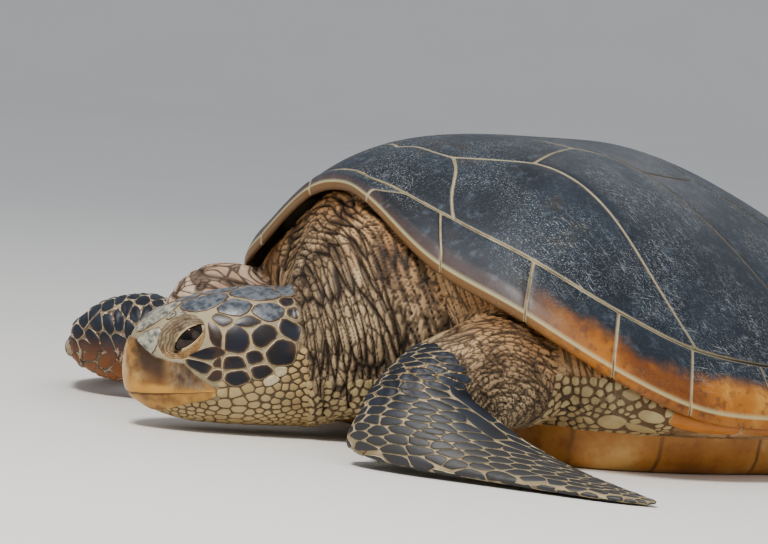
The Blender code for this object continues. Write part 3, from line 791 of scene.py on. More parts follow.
def tube_rings(stations):
    shape = oval(48, 2.2)
    rings = []
    for here, change in between(stations, 0.05):
        side = np.cross(change[:3], (0, 0, 1))
        side /= np.linalg.norm(side)
        up = np.cross(side, change[:3])
        up /= np.linalg.norm(up)
        ring = here[:3] + np.outer(shape[:, 0] * here[3], side)
        rings.append(ring + np.outer(shape[:, 1] * here[4], up))
    return np.array(rings)


def blade_rings(stations, side):
    shape = oval(56, 1.9)
    rings = []
    for here, change in between([(*lead, *trail, thick) for lead, trail, thick in stations], 0.1):
        chord = here[3:6] - here[:3]
        lift = np.cross(change[:3] + change[3:6], chord)
        lift *= here[6] / 2 / np.linalg.norm(lift)
        middle = (here[:3] + here[3:6]) / 2
        rings.append(middle + np.outer(shape[:, 0], chord / 2) + np.outer(shape[:, 1], lift))
    return np.array(rings) * (side, 1, 1)


def head_rings():
    rings = []
    for t in np.concatenate([np.linspace(0, 0.9, 32), np.linspace(0.915, 1, 12)]):
        width, top, bottom = smooth_at(HEAD_SECTIONS, t)
        shape = oval(72, 2.3)
        rings.append([on_head(t * HEAD_LENGTH, width * a, (top + bottom) / 2 + (top - bottom) / 2 * b)
                      for a, b in shape])
    return np.array(rings)


def neck_rings():
    keys = [(k, *row) for k, row in enumerate(NECK)]
    rings = []
    for t in np.linspace(0, len(NECK) - 1, 3 * FINE):
        x, y, z, width, height, turn = smooth_at(keys, t)
        across = np.array([1, 0, 0]) * (1 - turn) + HEAD_LEFT * turn
        tall = np.array([0, 0, 1]) * (1 - turn) + HEAD_UP * turn
        centre = np.array([x, y, z]) + HEAD_AHEAD * 0.004 * turn
        rings.append([centre + across * width * a + tall * height * b for a, b in oval(72, 2.2)])
    return np.array(rings)


def belly_reach(angle):
    """How far out the plastron goes: nearly to the rim at the sides, less in front and behind."""
    front, rear = ((1 + np.cos(angle)) / 2) ** 2, ((1 - np.cos(angle)) / 2) ** 3
    return 0.92 - 0.24 * front - 0.10 * rear


def trunk_rings():
    angles = np.radians(np.arange(0, 360, 2.5))
    reach, height = rim_at(angles)
    rings = [dome(plan(out, angles), PLATE_BED) for out in (0.3, 0.5, 0.7, 0.84, 0.93)]
    down = np.array((0.0, 0.12, 0.28, 0.45, 0.62, 0.8, 1.0))
    inward = np.array((0.0, 0.03, 0.11, 0.22, 0.42, 0.68, 1.0))
    for fall, draw in zip(down, inward):
        out = SKIN_REACH + (belly_reach(angles) - SKIN_REACH) * draw
        top = height - SKIN_BELOW_RIM
        rings.append(np.column_stack([plan(out, angles), top + (PLASTRON_TOP - 0.006 - top) * fall]))
    return np.array(rings)


LOFTS = {"trunk": trunk_rings(), "neck": neck_rings(), "head": head_rings(), "arm_left": tube_rings(ARM_LEFT),
         "arm_right": tube_rings(ARM_RIGHT), "blade_left": blade_rings(BLADE_LEFT, 1),
         "blade_right": blade_rings(BLADE_RIGHT, -1), "hind_left": blade_rings(HIND, 1),
         "hind_right": blade_rings(HIND, -1), "tail": tube_rings(TAIL)}
for rings in LOFTS.values():
    rings[..., 2] = np.maximum(rings[..., 2], 0.0)
PARTS = list(LOFTS)

# %% [markdown]
# ## One surface
# The lofts are joined and remeshed at 3.4 mm. What the shell hides is taken away, and the neck, head and
# arms, which have the finest folds, are subdivided once more. Each point remembers how much it belongs to
# each part of the body: the nearest loft tells, and some rounds of smoothing let one part run softly into
# the next.

# %% One surface
VOXEL = 3.4 * MM


def remeshed_flesh():
    joined = bmesh.new()
    for rings in LOFTS.values():
        count = rings.shape[1]
        flat = rings.reshape(-1, 3)
        flat = np.vstack([flat, rings[0].mean(0), rings[-1].mean(0)])
        made = [joined.verts.new(p) for p in flat]
        faces = tube_faces(len(rings), count, first=True, last=True)
        new = [joined.faces.new([made[i] for i in face]) for face in faces]
        bmesh.ops.recalc_face_normals(joined, faces=new)
    mesh = bpy.data.meshes.new("flesh")
    joined.to_mesh(mesh)
    joined.free()
    raw = bpy.data.objects.new("flesh", mesh)
    bpy.context.scene.collection.objects.link(raw)
    remesh = raw.modifiers.new("one surface", "REMESH")
    remesh.mode = "VOXEL"
    remesh.voxel_size = VOXEL
    result = bpy.data.meshes.new_from_object(raw.evaluated_get(bpy.context.evaluated_depsgraph_get()))
    bpy.data.objects.remove(raw)
    return result


def smoothed(values, edges, rounds):
    """Averages each point's value with its neighbours', some rounds over."""
    count = len(values)
    degree = np.bincount(edges.ravel(), minlength=count)[:, None].clip(1)
    columns = values.reshape(count, -1).astype(float)
    for _ in range(rounds):
        total = np.stack([np.bincount(edges[:, 0], columns[edges[:, 1], k], count)
                          + np.bincount(edges[:, 1], columns[edges[:, 0], k], count)
                          for k in range(columns.shape[1])], 1)
        columns += (total / degree - columns) / 2
    return columns.reshape(values.shape)


def read(mesh):
    points = np.empty(len(mesh.vertices) * 3)
    mesh.vertices.foreach_get("co", points)
    edges = np.empty(len(mesh.edges) * 2, int)
    mesh.edges.foreach_get("vertices", edges)
    return points.reshape(-1, 3), edges.reshape(-1, 2)


HIDDEN_OUT, HIDDEN_DEEP = 0.93, 0.045  # skin further in than this and nearer under the dome is taken away
BELLY_LAP, BELLY_HIGH = 0.09, 0.06     # and low skin on the plastron, but for a lap along its edge


def under_shell(points):
    """Whether a point of the trunk is hidden by the shell or lies on the plastron."""
    angle = np.arctan2(points[:, 0], DOME_CENTRE_Y - points[:, 1])
    reach, height = rim_at(angle)
    out = np.hypot(points[:, 0], points[:, 1] - DOME_CENTRE_Y) / reach
    roof = dome_height(points[:, 0], points[:, 1]) - HIDDEN_DEEP
    below_roof = (out < HIDDEN_OUT) & (points[:, 2] > roof)
    on_belly = (out < belly_reach(angle) - BELLY_LAP) & (points[:, 2] < BELLY_HIGH)
    return below_roof | on_belly


def has_fine_folds(spot):
    """Whether a face lies on the head, the neck, an arm or a shoulder."""
    away = spot - HEAD_REAR
    on_head_or_neck = away @ HEAD_AHEAD > -0.075 and abs(away @ HEAD_LEFT) < 0.17
    on_arm = abs(spot[0]) > 0.17 and -0.54 < spot[1] < -0.29 and spot[2] > 0.03
    return on_head_or_neck or on_arm or np.linalg.norm(away) < 0.15


flesh = remeshed_flesh()
points, edges = read(flesh)
points = smoothed(points, edges, 6)
flesh.vertices.foreach_set("co", points.ravel())
work = bmesh.new()
work.from_mesh(flesh)
hidden = under_shell(points)
work.verts.ensure_lookup_table()
bmesh.ops.delete(work, geom=[work.verts[i] for i in np.nonzero(hidden)[0]], context="VERTS")
near = [f for f in work.faces if has_fine_folds(np.array(f.calc_center_median()))]
print("flesh:", len(work.faces), "faces,", len(near), "of them on neck and head")
fine_edges = list({e for f in near for e in f.edges})
bmesh.ops.subdivide_edges(work, edges=fine_edges, cuts=1, use_grid_fill=True, smooth=0.6)
skin_mesh = bpy.data.meshes.new("skin")
work.to_mesh(skin_mesh)
work.free()
points, edges = read(skin_mesh)
print("skin:", len(points), "points,", len(skin_mesh.polygons), "faces")

# %% Parts of the surface
loft_samples = np.vstack([rings.reshape(-1, 3) for rings in LOFTS.values()])
loft_part = np.repeat(np.arange(len(PARTS)), [rings.shape[0] * rings.shape[1] for rings in LOFTS.values()])
loft_tree = kdtree.KDTree(len(loft_samples))
for i, sample in enumerate(loft_samples):
    loft_tree.insert(sample, i)
loft_tree.balance()


def part_shares(points, edges):
    """How much each point belongs to each part of the body."""
    nearest = loft_part[[loft_tree.find(p)[1] for p in points]]
    return smoothed(np.eye(len(PARTS))[nearest], edges, 10)


def normals_of(mesh):
    values = np.empty(len(mesh.vertices) * 3)
    mesh.vertices.foreach_get("normal", values)
    return values.reshape(-1, 3)


def smoothstep(low, high, value):
    t = np.clip((value - low) / (high - low), 0, 1)
    return t * t * (3 - 2 * t)


shares = part_shares(points, edges)
share = {name: shares[:, k] for k, name in enumerate(PARTS)}

# %% [markdown]
# ## Eye sockets
# The eyes sit in sockets a third of the way back from the beak. The skin is pressed in there, and lids are
# laid over each eye below. Their openings slant: the front corner is low and the rear corner is high.

# %% Sockets
EYE_RADIUS = 25 * MM
EYE_ALONG, EYE_SIDE, EYE_ABOVE = 0.123, 0.0345, 0.0335
SOCKET_HALF = (31 * MM, 26 * MM)      # along and across the opening
SOCKET_DEPTH = 15 * MM
SOCKET_SHIFT = (9 * MM, 3 * MM)       # from the eye's middle towards the beak, and up
LOOK_ASIDE, LOOK_AHEAD, LOOK_UP = 0.955, 0.24, 0.17
SLANT_BACK, SLANT_UP = 0.80, 0.60     # the opening's long axis


class Eye:
    """One eye's place: its middle, the way it looks, and the directions along and across its opening."""

    def __init__(self, side):
        self.side = side
        self.middle = on_head(EYE_ALONG, EYE_SIDE * side, EYE_ABOVE)
        self.out = HEAD_LEFT * LOOK_ASIDE * side + HEAD_AHEAD * LOOK_AHEAD + HEAD_UP * LOOK_UP
        self.out /= np.linalg.norm(self.out)
        slant = SLANT_UP * HEAD_UP - SLANT_BACK * HEAD_AHEAD
        self.along = slant - self.out * (slant @ self.out)
        self.along /= np.linalg.norm(self.along)
        self.across = np.cross(self.out, self.along) * side
        if self.across @ HEAD_UP < 0:
            self.across = -self.across
        shift = HEAD_AHEAD * SOCKET_SHIFT[0] + HEAD_UP * SOCKET_SHIFT[1]
        self.socket = np.array([shift @ self.along, shift @ self.across])

    def flat(self, points):
        """Places along and across the opening, and the height over the eye's middle."""
        away = np.asarray(points) - self.middle
        return away @ self.along, away @ self.across, away @ self.out

    def socket_share(self, points):
        """0 in the middle of the socket, 1 on its edge, more outside it."""
        p, q, height = self.flat(points)
        ring = np.hypot((p - self.socket[0]) / SOCKET_HALF[0], (q - self.socket[1]) / SOCKET_HALF[1])
        return np.where(height > -0.02, ring, 9.0)


EYES = [Eye(1), Eye(-1)]
skin_normals = normals_of(skin_mesh)
for eye in EYES:
    ring = eye.socket_share(points)
    points = points - eye.out * (SOCKET_DEPTH * (1 - smoothstep(0.30, 0.93, ring)))[:, None]

# %% [markdown]
# ## Folds
# Loose skin folds across the way it is pulled: in rings round the neck that flare out towards the shell,
# and in arcs over the shoulders. Both are drawn as long cells: each fold is a rounded cushion, and the
# creases lie between cells, where the nearest and the next nearest cell point are equally far. Smaller
# round cells on top make the beaded look of the skin. The creases are also stored, because dirt and shadow
# darken them.


# %% Folds
def cell_edges(spots, seed):
    """The difference between the second nearest and the nearest cell point: 0 in the creases."""
    home = np.floor(spots)
    best = np.full((len(spots), 2), 9.0)
    dimensions = spots.shape[1]
    for offset in np.stack(np.meshgrid(*[(-1, 0, 1)] * dimensions), -1).reshape(-1, dimensions):
        cell = home + offset
        mixed = [np.sin(cell @ np.array((12.99, 78.23, 37.72)[:dimensions]) + seed + 4.1 * k) * 43758.5453
                 for k in range(dimensions)]
        jitter = np.stack([m - np.floor(m) for m in mixed], 1)
        away = np.linalg.norm(cell + jitter - spots, axis=1)
        nearer = away < best[:, 0]
        best[:, 1] = np.where(nearer, best[:, 0], np.minimum(best[:, 1], away))
        best[:, 0] = np.where(nearer, away, best[:, 0])
    return best[:, 1] - best[:, 0]


def sway_of(spots, length, seed):
    """A smooth random value from -1 to 1 that changes over a length."""
    source = np.random.default_rng(seed)
    total = np.zeros(len(spots))
    for _ in range(5):
        direction = source.normal(size=3)
        direction /= np.linalg.norm(direction)
        wave = length * source.uniform(0.7, 1.4)
        total += np.sin(spots @ direction * 2 * np.pi / wave + source.uniform(0, 6.3))
    return total / 5 ** 0.5 / 1.4


def folds(points, along, around, spacing, length, depth, seed, sway=10 * MM):
    """Cushions between creases in the long cells, and how deep in a crease each point is."""
    warp = sway_of(points, 0.07, seed) * sway
    twist = sway_of(points, 0.05, seed + 1) * 12 * MM
    gap = cell_edges(np.stack([(along + warp) / spacing, (around + twist) / length], 1), seed)
    crease = np.exp(-(gap / 0.16) ** 1.2)
    return -depth * crease + 0.25 * depth * np.minimum(gap, 0.8), crease


behind = -(points - HEAD_REAR) @ HEAD_AHEAD
left_of, up_of = (points - HEAD_REAR) @ HEAD_LEFT, (points - HEAD_REAR) @ HEAD_UP
girth = np.hypot(left_of, up_of)
neck_along = behind + 0.9 * (girth - 0.07)
neck_around = np.arctan2(up_of, left_of) * 0.13
ARMPIT = (0.300, -0.420, 0.040)        # the arms' folds are arcs round it
# Layers of folds, coarse to fine: spacing, length, depth and a seed.
NECK_FOLDS = ((12 * MM, 95 * MM, 3.2 * MM, 3), (8 * MM, 26 * MM, 1.5 * MM, 5),
              (5.5 * MM, 7 * MM, 0.7 * MM, 8))
ARM_FOLDS = ((6 * MM, 55 * MM, 1.9 * MM, 11), (4.5 * MM, 10 * MM, 0.6 * MM, 13))
rise = np.zeros(len(points))
crease = np.zeros(len(points))

neck_share = share["neck"] + share["head"] * (behind > -0.016) + 0.6 * share["trunk"] * (points[:, 1] < -0.30)
neck_share = np.clip(neck_share, 0, 1) * smoothstep(-0.014, -0.003, behind)
for spacing, length, depth, seed in NECK_FOLDS:
    high, deep = folds(points, neck_along, neck_around, spacing, length, depth, seed, 6 * MM)
    rise += high * neck_share
    crease = np.maximum(crease, deep * neck_share * min(1.0, depth / (2.0 * MM)))
for name, mirror in (("arm_left", 1), ("arm_right", -1)):
    away = points * (mirror, 1, 1) - ARMPIT
    from_armpit = np.linalg.norm(away, axis=1)
    turn = np.arctan2(away[:, 2], away @ np.array((0.56, 0.83, 0.0)))
    for spacing, length, depth, seed in ARM_FOLDS:
        high, deep = folds(points, from_armpit, turn * 0.10, spacing, length, depth, seed, 4 * MM)
        rise += high * share[name]
        crease = np.maximum(crease, deep * share[name] * 0.75)
rest = share["trunk"] * (1 - neck_share) + share["tail"] + share["hind_left"] + share["hind_right"]
high, deep = folds(points, points[:, 2], points[:, 0] + points[:, 1], 12 * MM, 14 * MM, 1.0 * MM, 21)
rise += high * rest
crease = np.maximum(crease, deep * rest * 0.8)

# The large scales of the sides lie on skin without folds: place, then half the length and the height in mm.
BRIDGE = [(0.36, -0.205, 0.062, 40, 22), (0.365, -0.115, 0.062, 42, 24), (0.36, -0.02, 0.062, 45, 24),
          (0.345, 0.075, 0.062, 45, 24), (0.31, 0.165, 0.062, 42, 22)]
COINS = [(0.301, -0.290, 0.057, 14, 16), (0.338, -0.268, 0.068, 14, 10), (0.318, -0.266, 0.037, 20, 9),
         (0.287, -0.318, 0.038, 9, 7), (0.308, -0.333, 0.089, 6, 8), (0.339, -0.297, 0.090, 10, 8),
         (0.274, -0.310, 0.058, 6, 7), (0.320, -0.325, 0.120, 9, 8)]
for x, y, z, along, up in BRIDGE + COINS:
    away = np.linalg.norm(points * (np.sign(points[:, :1]) * (1, 0, 0) + (0, 1, 1)) - (x, y, z), axis=1)
    stays = 1 - np.exp(-(away / (max(along, up) * 1.15 * MM)) ** 4)
    rise, crease = rise * stays, crease * stays

COAT_DEPTH = 0.9 * MM
rise -= COAT_DEPTH
points = points + skin_normals * rise[:, None]
points[:, 2] = np.maximum(points[:, 2], 0.3 * MM)
skin_mesh.vertices.foreach_set("co", points.ravel())
skin_mesh.update()
print("folds from", round(rise.min() / MM, 1), "to", round(rise.max() / MM, 1), "mm")

# %% [markdown]
# ## Skin
# The skin is leathery: matt, tan to grey-brown, warmer and more orange where the shell shades it, pinkish
# on the right arm, and dark in the folds: pigment and dirt, with painted shade for their shadow. Its index
# is about 1.45. Its roughness comes from pores finer than a millimetre, so they are left to the bump.

# %% Skin finish
skin_finish, shader, place = new_finish("leathery_skin", 1.45, 0.62)
dark_skin_and_shade, warm, slate, pale, rosy = stored(skin_finish, "crease", "warm", "slate", "pale", "rosy")
blotch = clouds(place, 16.0, 5.0, 0.6)
pores = add(place.id_data, "TexVoronoi", {"Vector": place, "Scale": 420.0}).outputs["Distance"]
base = ramp(blotch, (
    (0.30, "#6f5e4b"), (0.48, "#9a866b"), (0.62, "#b9a384"), (0.74, "#cdbb9b")))
orange = ramp(blotch, ((0.32, "#9c6a3c"), (0.52, "#c48f58"), (0.70, "#d9b083")))
base = mix(warm, base, orange)
pink = ramp(blotch, ((0.35, "#b0917a"), (0.62, "#d6c2ad")))
base = mix(rosy, base, pink)
cream = ramp(blotch, ((0.35, "#8c8067"), (0.62, "#a99d82")))
base = mix(pale, base, cream)
base = mix(slate, base, "#4a4541")
# Dark in the folds and between pebbles: pigment and dirt, with painted shade for the shadow in the creases.
dark_skin_and_shade_share = ramp(dark_skin_and_shade, ((0.12, 0.0), (0.40, 0.66), (0.80, 0.98)))
base = mix(dark_skin_and_shade_share, base, "#27190f")
join_up(shader, colour=base, normal=bumps(plus(blotch, times(pores, 0.5)), 1.2 * MM))

rim_angle_here = np.arctan2(points[:, 0], DOME_CENTRE_Y - points[:, 1])
below_rim = rim_at(rim_angle_here)[1] - points[:, 2]
out_here = np.hypot(points[:, 0], points[:, 1] - DOME_CENTRE_Y) / rim_at(rim_angle_here)[0]
warm_value = np.exp(-np.clip(below_rim, 0, 1) / 0.035) * smoothstep(0.80, 0.95, out_here)
slate_value = 0.5 * (share["hind_left"] + share["hind_right"])
pale_value = share["head"] * smoothstep(0.012, 0.030, -behind)
pale_value += 0.5 * (share["blade_left"] + share["blade_right"])
set_values(skin_mesh, {"crease": crease, "warm": warm_value * (1 - share["head"]) * 0.8,
                       "slate": np.clip(slate_value, 0, 1), "pale": np.clip(pale_value, 0, 1),
                       "rosy": share["arm_right"] * 0.9})
skin = placed_object("skin", skin_mesh, skin_finish)
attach(skin, "root")
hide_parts("trunk", "neck", "head", "lower_jaw", "fore_arm_left", "fore_arm_right",
            "fore_flipper_left", "fore_flipper_right", "hind_flipper_left", "hind_flipper_right", "tail")

# %% [markdown]
# ## How scales are made
# Scales are flat horn cushions that grew side by side until they met. So each starts as a seed with a
# length, a width and a direction. Its outline is what is left of an ellipse when every neighbour has taken
# its share, which gives the many-sided cells of real scales. The outline is rounded, laid on the skin and
# raised in rings: steep at the border, flat in the middle. All scales of one part of the body are joined
# into one mesh.
#
# Each scale gets a small patch of a map named OFBake, at the place of its root on the unwrapped part of the
# body.

# %% The finished skin as a base for scales
skin_faces = [tuple(f.vertices) for f in skin_mesh.polygons]
skin_tree = BVHTree.FromPolygons(points.tolist(), skin_faces)
face_corner = np.array([f[0] for f in skin_faces])
calm = smoothed(normals_of(skin_mesh), edges, 8)
calm /= np.linalg.norm(calm, axis=1, keepdims=True)
loft_map = np.vstack([np.stack(np.meshgrid(*[np.linspace(0, 1, count) for count in rings.shape[:2]],
                                           indexing="ij"), -1).reshape(-1, 2) for rings in LOFTS.values()])


def snap(spot):
    """The nearest place on the skin, and the calm normal there."""
    found = skin_tree.find_nearest(Vector(spot))
    return np.array(found[0]), calm[face_corner[found[2]]]


def bake_place(spot):
    """A place on the unwrap: each part of the body has a strip of its own."""
    i = loft_tree.find(spot)[1]
    run, round_it = loft_map[i]
    return (loft_part[i] + 0.05 + 0.9 * run) / len(PARTS), 0.03 + 0.94 * round_it


# %% Seeds
def terms_of(spots):
    """Ten numbers per place; see forms_of."""
    x, y, z = np.asarray(spots, float).reshape(-1, 3).T
    return np.stack([x * x, y * y, z * z, x * y, x * z, y * z, x, y, z, np.ones(len(x))], 1)


def forms_of(spots, lies, crosses, long, wide):
    """Ten numbers per seed: times a place's terms they give the squared distance, in the seed's own radii."""
    up = np.cross(lies, crosses)
    form = np.einsum("ni,nj->nij", lies, lies) / (long ** 2)[:, None, None]
    for side in (crosses, up):
        form = form + np.einsum("ni,nj->nij", side, side) / (wide ** 2)[:, None, None]
    pull = np.einsum("nij,nj->ni", form, spots)
    return np.column_stack([form[:, 0, 0], form[:, 1, 1], form[:, 2, 2], 2 * form[:, 0, 1], 2 * form[:, 0, 2],
                            2 * form[:, 1, 2], -2 * pull, np.einsum("ni,ni->n", spots, pull)])


def apart(own, other):
    """Distances as shares of two radii together, from squared distances in each one's radii."""
    own, other = np.sqrt(np.maximum(own, 1e-9)), np.sqrt(np.maximum(other, 1e-9))
    return own * other / (own + other)


class Seeds:
    """Where scales grow: places, ways they lie, half lengths and half widths, and a tone for the finish."""

    def __init__(self, places, lies, long, wide, tone, extra=0.0):
        found = [snap(spot) for spot in places]
        self.place, self.normal = (np.array([f[k] for f in found]).reshape(-1, 3) for k in (0, 1))
        lies = np.broadcast_to(lies, self.place.shape)
        lies = lies - self.normal * np.einsum("ni,ni->n", lies, self.normal)[:, None]
        self.lie = lies / np.linalg.norm(lies, axis=1, keepdims=True)
        self.cross = np.cross(self.normal, self.lie)
        self.long, self.wide, self.tone, self.extra = (np.broadcast_to(v, len(places)).astype(float)
                                                       for v in (long, wide, tone, extra))
        self.terms = terms_of(self.place)
        self.forms = forms_of(self.place, self.lie, self.cross, self.long, self.wide)

    def __len__(self):
        return len(self.place)


def together(*groups):
    """Several groups of seeds as one."""
    made = Seeds.__new__(Seeds)
    for key in ("place", "normal", "lie", "cross", "long", "wide", "tone", "extra", "terms", "forms"):
        setattr(made, key, np.concatenate([getattr(group, key) for group in groups]))
    return made


BATCH = 4000                   # points compared with all seeds at a time, to spare memory


def scatter(where, lies, long, wide, taken=None, spacing=0.84, clear=1.0, seed=1):
    """Seeds thrown on skin points, none too near another, then evened out."""
    source = np.random.default_rng(seed)
    index = source.permutation(np.nonzero(where)[0])
    spots, up = points[index], calm[index]
    long, wide = (np.broadcast_to(v, len(points))[index].astype(float) for v in (long, wide))
    lies = np.broadcast_to(lies, points.shape)[index]
    lies = lies - up * np.einsum("ni,ni->n", lies, up)[:, None]
    lies = lies / np.linalg.norm(lies, axis=1, keepdims=True).clip(1e-6)
    terms, forms = terms_of(spots), forms_of(spots, lies, np.cross(up, lies), long, wide)
    free = np.ones(len(index), bool)
    if taken is not None:
        free = apart(terms @ taken.forms.T, forms @ taken.terms.T).min(1) > clear
    kept = []
    left = np.nonzero(free)[0]
    while len(left):
        first = left[0]
        kept.append(first)
        left = left[apart(terms[left] @ forms[first], forms[left] @ terms[first]) > spacing]
    kept = np.array(kept)
    places, tone = spots[kept], source.random(len(kept))
    for _ in range(2):
        made = Seeds(places, lies[kept], long[kept], wide[kept], tone)
        rivals = made.forms if taken is None else np.vstack([made.forms, taken.forms])
        batches = np.array_split(terms, 1 + len(terms) // BATCH)
        nearest = np.concatenate([(batch @ rivals.T).argmin(1) for batch in batches])
        total = np.bincount(nearest, minlength=len(rivals))[:len(kept)]
        mean = np.stack([np.bincount(nearest, spots[:, k], len(rivals))[:len(kept)] for k in range(3)], 1)
        places = np.where(total[:, None] > 0, mean / total.clip(1)[:, None], places)
    return Seeds(places, lies[kept], long[kept], wide[kept], tone)


# %% Outlines and cushions
def clipped(outline, normal, limit):
    """What is left of a convex outline on the near side of a line."""
    kept = []
    for a, b in zip(outline, outline[1:] + outline[:1]):
        over_a = a[0] * normal[0] + a[1] * normal[1] - limit
        over_b = b[0] * normal[0] + b[1] * normal[1] - limit
        if over_a <= 0:
            kept.append(a)
        if (over_a < 0) != (over_b < 0):
            t = over_a / (over_a - over_b)
            kept.append((a[0] + (b[0] - a[0]) * t, a[1] + (b[1] - a[1]) * t))
    return kept


def rounded(outline, rounds):
    """Corner cutting: each side keeps its middle."""
    for _ in range(rounds):
        cut = []
        for a, b in zip(outline, outline[1:] + outline[:1]):
            cut += [(a[0] * 0.78 + b[0] * 0.22, a[1] * 0.78 + b[1] * 0.22),
                    (a[0] * 0.22 + b[0] * 0.78, a[1] * 0.22 + b[1] * 0.78)]
        outline = cut
    return outline


def without_slivers(outline, least):
    """The outline without points that nearly coincide."""
    kept = []
    for spot in outline:
        if not kept or math.hypot(spot[0] - kept[-1][0], spot[1] - kept[-1][1]) > least:
            kept.append(spot)
    while len(kept) > 3 and math.hypot(kept[0][0] - kept[-1][0], kept[0][1] - kept[-1][1]) < least:
        kept.pop()
    return kept


CORNERS = 14                   # of the many-sided outline that stands for an ellipse


def cell_of(seeds, k, everyone, close, gap, limit):
    """A seed's outline in its own plane: its ellipse, less what the neighbours take."""
    long, wide = seeds.long[k], seeds.wide[k]
    turns = np.arange(CORNERS) / CORNERS * 2 * math.pi
    outline = [(long * limit * math.cos(t), wide * limit * math.sin(t)) for t in turns]
    for i in close:
        away = everyone.place[i] - seeds.place[k]
        x, y = away @ seeds.lie[k], away @ seeds.cross[k]
        own = math.hypot(x / long, y / wide)
        other = math.hypot(away @ everyone.lie[i] / everyone.long[i],
                           away @ everyone.cross[i] / everyone.wide[i])
        if own < 1e-6 or other < 1e-6:
            continue
        nx, ny = x / long ** 2, y / wide ** 2
        size = math.hypot(nx, ny)
        nx, ny = nx / size, ny / size
        outline = clipped(outline, (nx, ny), (x * nx + y * ny) * other / (own + other) - gap / 2)
        if len(outline) < 3:
            return []
    return outline


# The rings of a scale: how far in from the border, how far above the skin, and what share of the thickness
# comes on top.
FINE_RINGS = ((0, -0.5 * MM, 0.0), (0.1 * MM, 0, 0.45), (0.5 * MM, 0, 0.85), (1.4 * MM, 0, 1.0),
              (3.2 * MM, 0, 1.0), (6.0 * MM, 0, 1.0))
PLAIN_RINGS = ((0, -0.5 * MM, 0.0), (0.15 * MM, 0, 0.5), (0.9 * MM, 0, 1.0), (2.2 * MM, 0, 1.0))
LARGE, MIDDLING, SMALL = 10 * MM, 5.5 * MM, 5 * MM     # mean radii from which a scale has more or wider rings
INSET_UNIT = 6 * MM            # a stored inset of 1
PATCH = 0.0015                 # half the width of a scale's patch of the map


class Coat:
    """Many scales joined into one mesh."""

    def __init__(self, name, finish, slot):
        self.name, self.finish, self.slot = name, finish, slot
        self.points, self.faces, self.map, self.inset, self.tone, self.extra = [], [], [], [], [], []

    def scale(self, seeds, k, outline, thick, rounds, crown, lift):
        long, wide = seeds.long[k], seeds.wide[k]
        outline = without_slivers(outline, 0.12 * wide)
        if len(outline) < 3:
            return
        outline = np.array(rounded(outline, rounds))
        middle = outline.mean(0)
        mean = np.linalg.norm(outline - middle, axis=1).mean()
        if mean < 0.35 * wide:
            return
        count, base = len(outline), len(self.points)
        rings = FINE_RINGS if mean > MIDDLING else PLAIN_RINGS
        if mean > LARGE:
            rings = rings[:-1] + ((0.5 * mean, 0, 1.0), (0.75 * mean, 0, 1.0))
        unit = min(1.0, mean / SMALL)
        u, v = bake_place(seeds.place[k])
        spots, heights, insets = [], [], []
        for inset, sunk, share_up in rings:
            inset = min(inset * unit, (0.66 if mean < LARGE else 0.8) * mean)
            dome_up = crown * (1 - (1 - inset / mean) ** 2)
            spots += list(middle + (outline - middle) * (1 - inset / mean))
            heights += [sunk + share_up * thick + dome_up] * count
            insets += [inset] * count
        spots.append(middle)
        heights.append(thick + crown)
        insets.append(mean)
        for (x, y), height, inset in zip(spots, heights, insets):
            root = seeds.place[k] + seeds.lie[k] * x + seeds.cross[k] * y
            place, _, face, _ = skin_tree.find_nearest(Vector(root))
            up = calm[face_corner[face]] + seeds.normal[k]
            slope = lift * (x / long + 1) / 2
            self.points.append(np.array(place) + up / np.linalg.norm(up) * (height + slope * (height > 0)))
            self.map.append((u + PATCH * x / long, v + PATCH * y / long))
            self.inset.append(inset / INSET_UNIT)
        self.tone += [seeds.tone[k]] * len(spots)
        self.extra += [seeds.extra[k]] * len(spots)
        faces = tube_faces(len(rings), count, last=True)
        self.faces += [tuple(base + i for i in face) for face in faces]

    def grow(self, seeds, others=(), *, gap, thick, limit, crown, rounds=1, lift=0.0):
        """A scale on each seed, which shares the skin with its neighbours and with other groups of seeds."""
        everyone = together(seeds, *others)
        for k in range(len(seeds)):
            far = apart(seeds.forms[k] @ everyone.terms.T, everyone.forms @ seeds.terms[k])
            far[k] = 99.0
            far[everyone.normal @ seeds.normal[k] < 0.1] = 99.0
            close = np.argsort(far)[:18]
            outline = cell_of(seeds, k, everyone, close[far[close] < 2.2 * limit], gap, limit)
            self.scale(seeds, k, outline, thick, rounds, crown, lift)
        self.make()

    def make(self):
        made = mesh_piece(self.name, self.points, self.faces, self.finish,
                          {"inset": self.inset, "tone": self.tone, "extra": self.extra})
        corners = np.empty(len(made.data.loops), int)
        made.data.loops.foreach_get("vertex_index", corners)
        layer = made.data.uv_layers.new(name="OFBake")
        layer.data.foreach_set("uv", np.array(self.map)[corners].ravel())
        print(self.name + ":", len(self.faces), "faces")
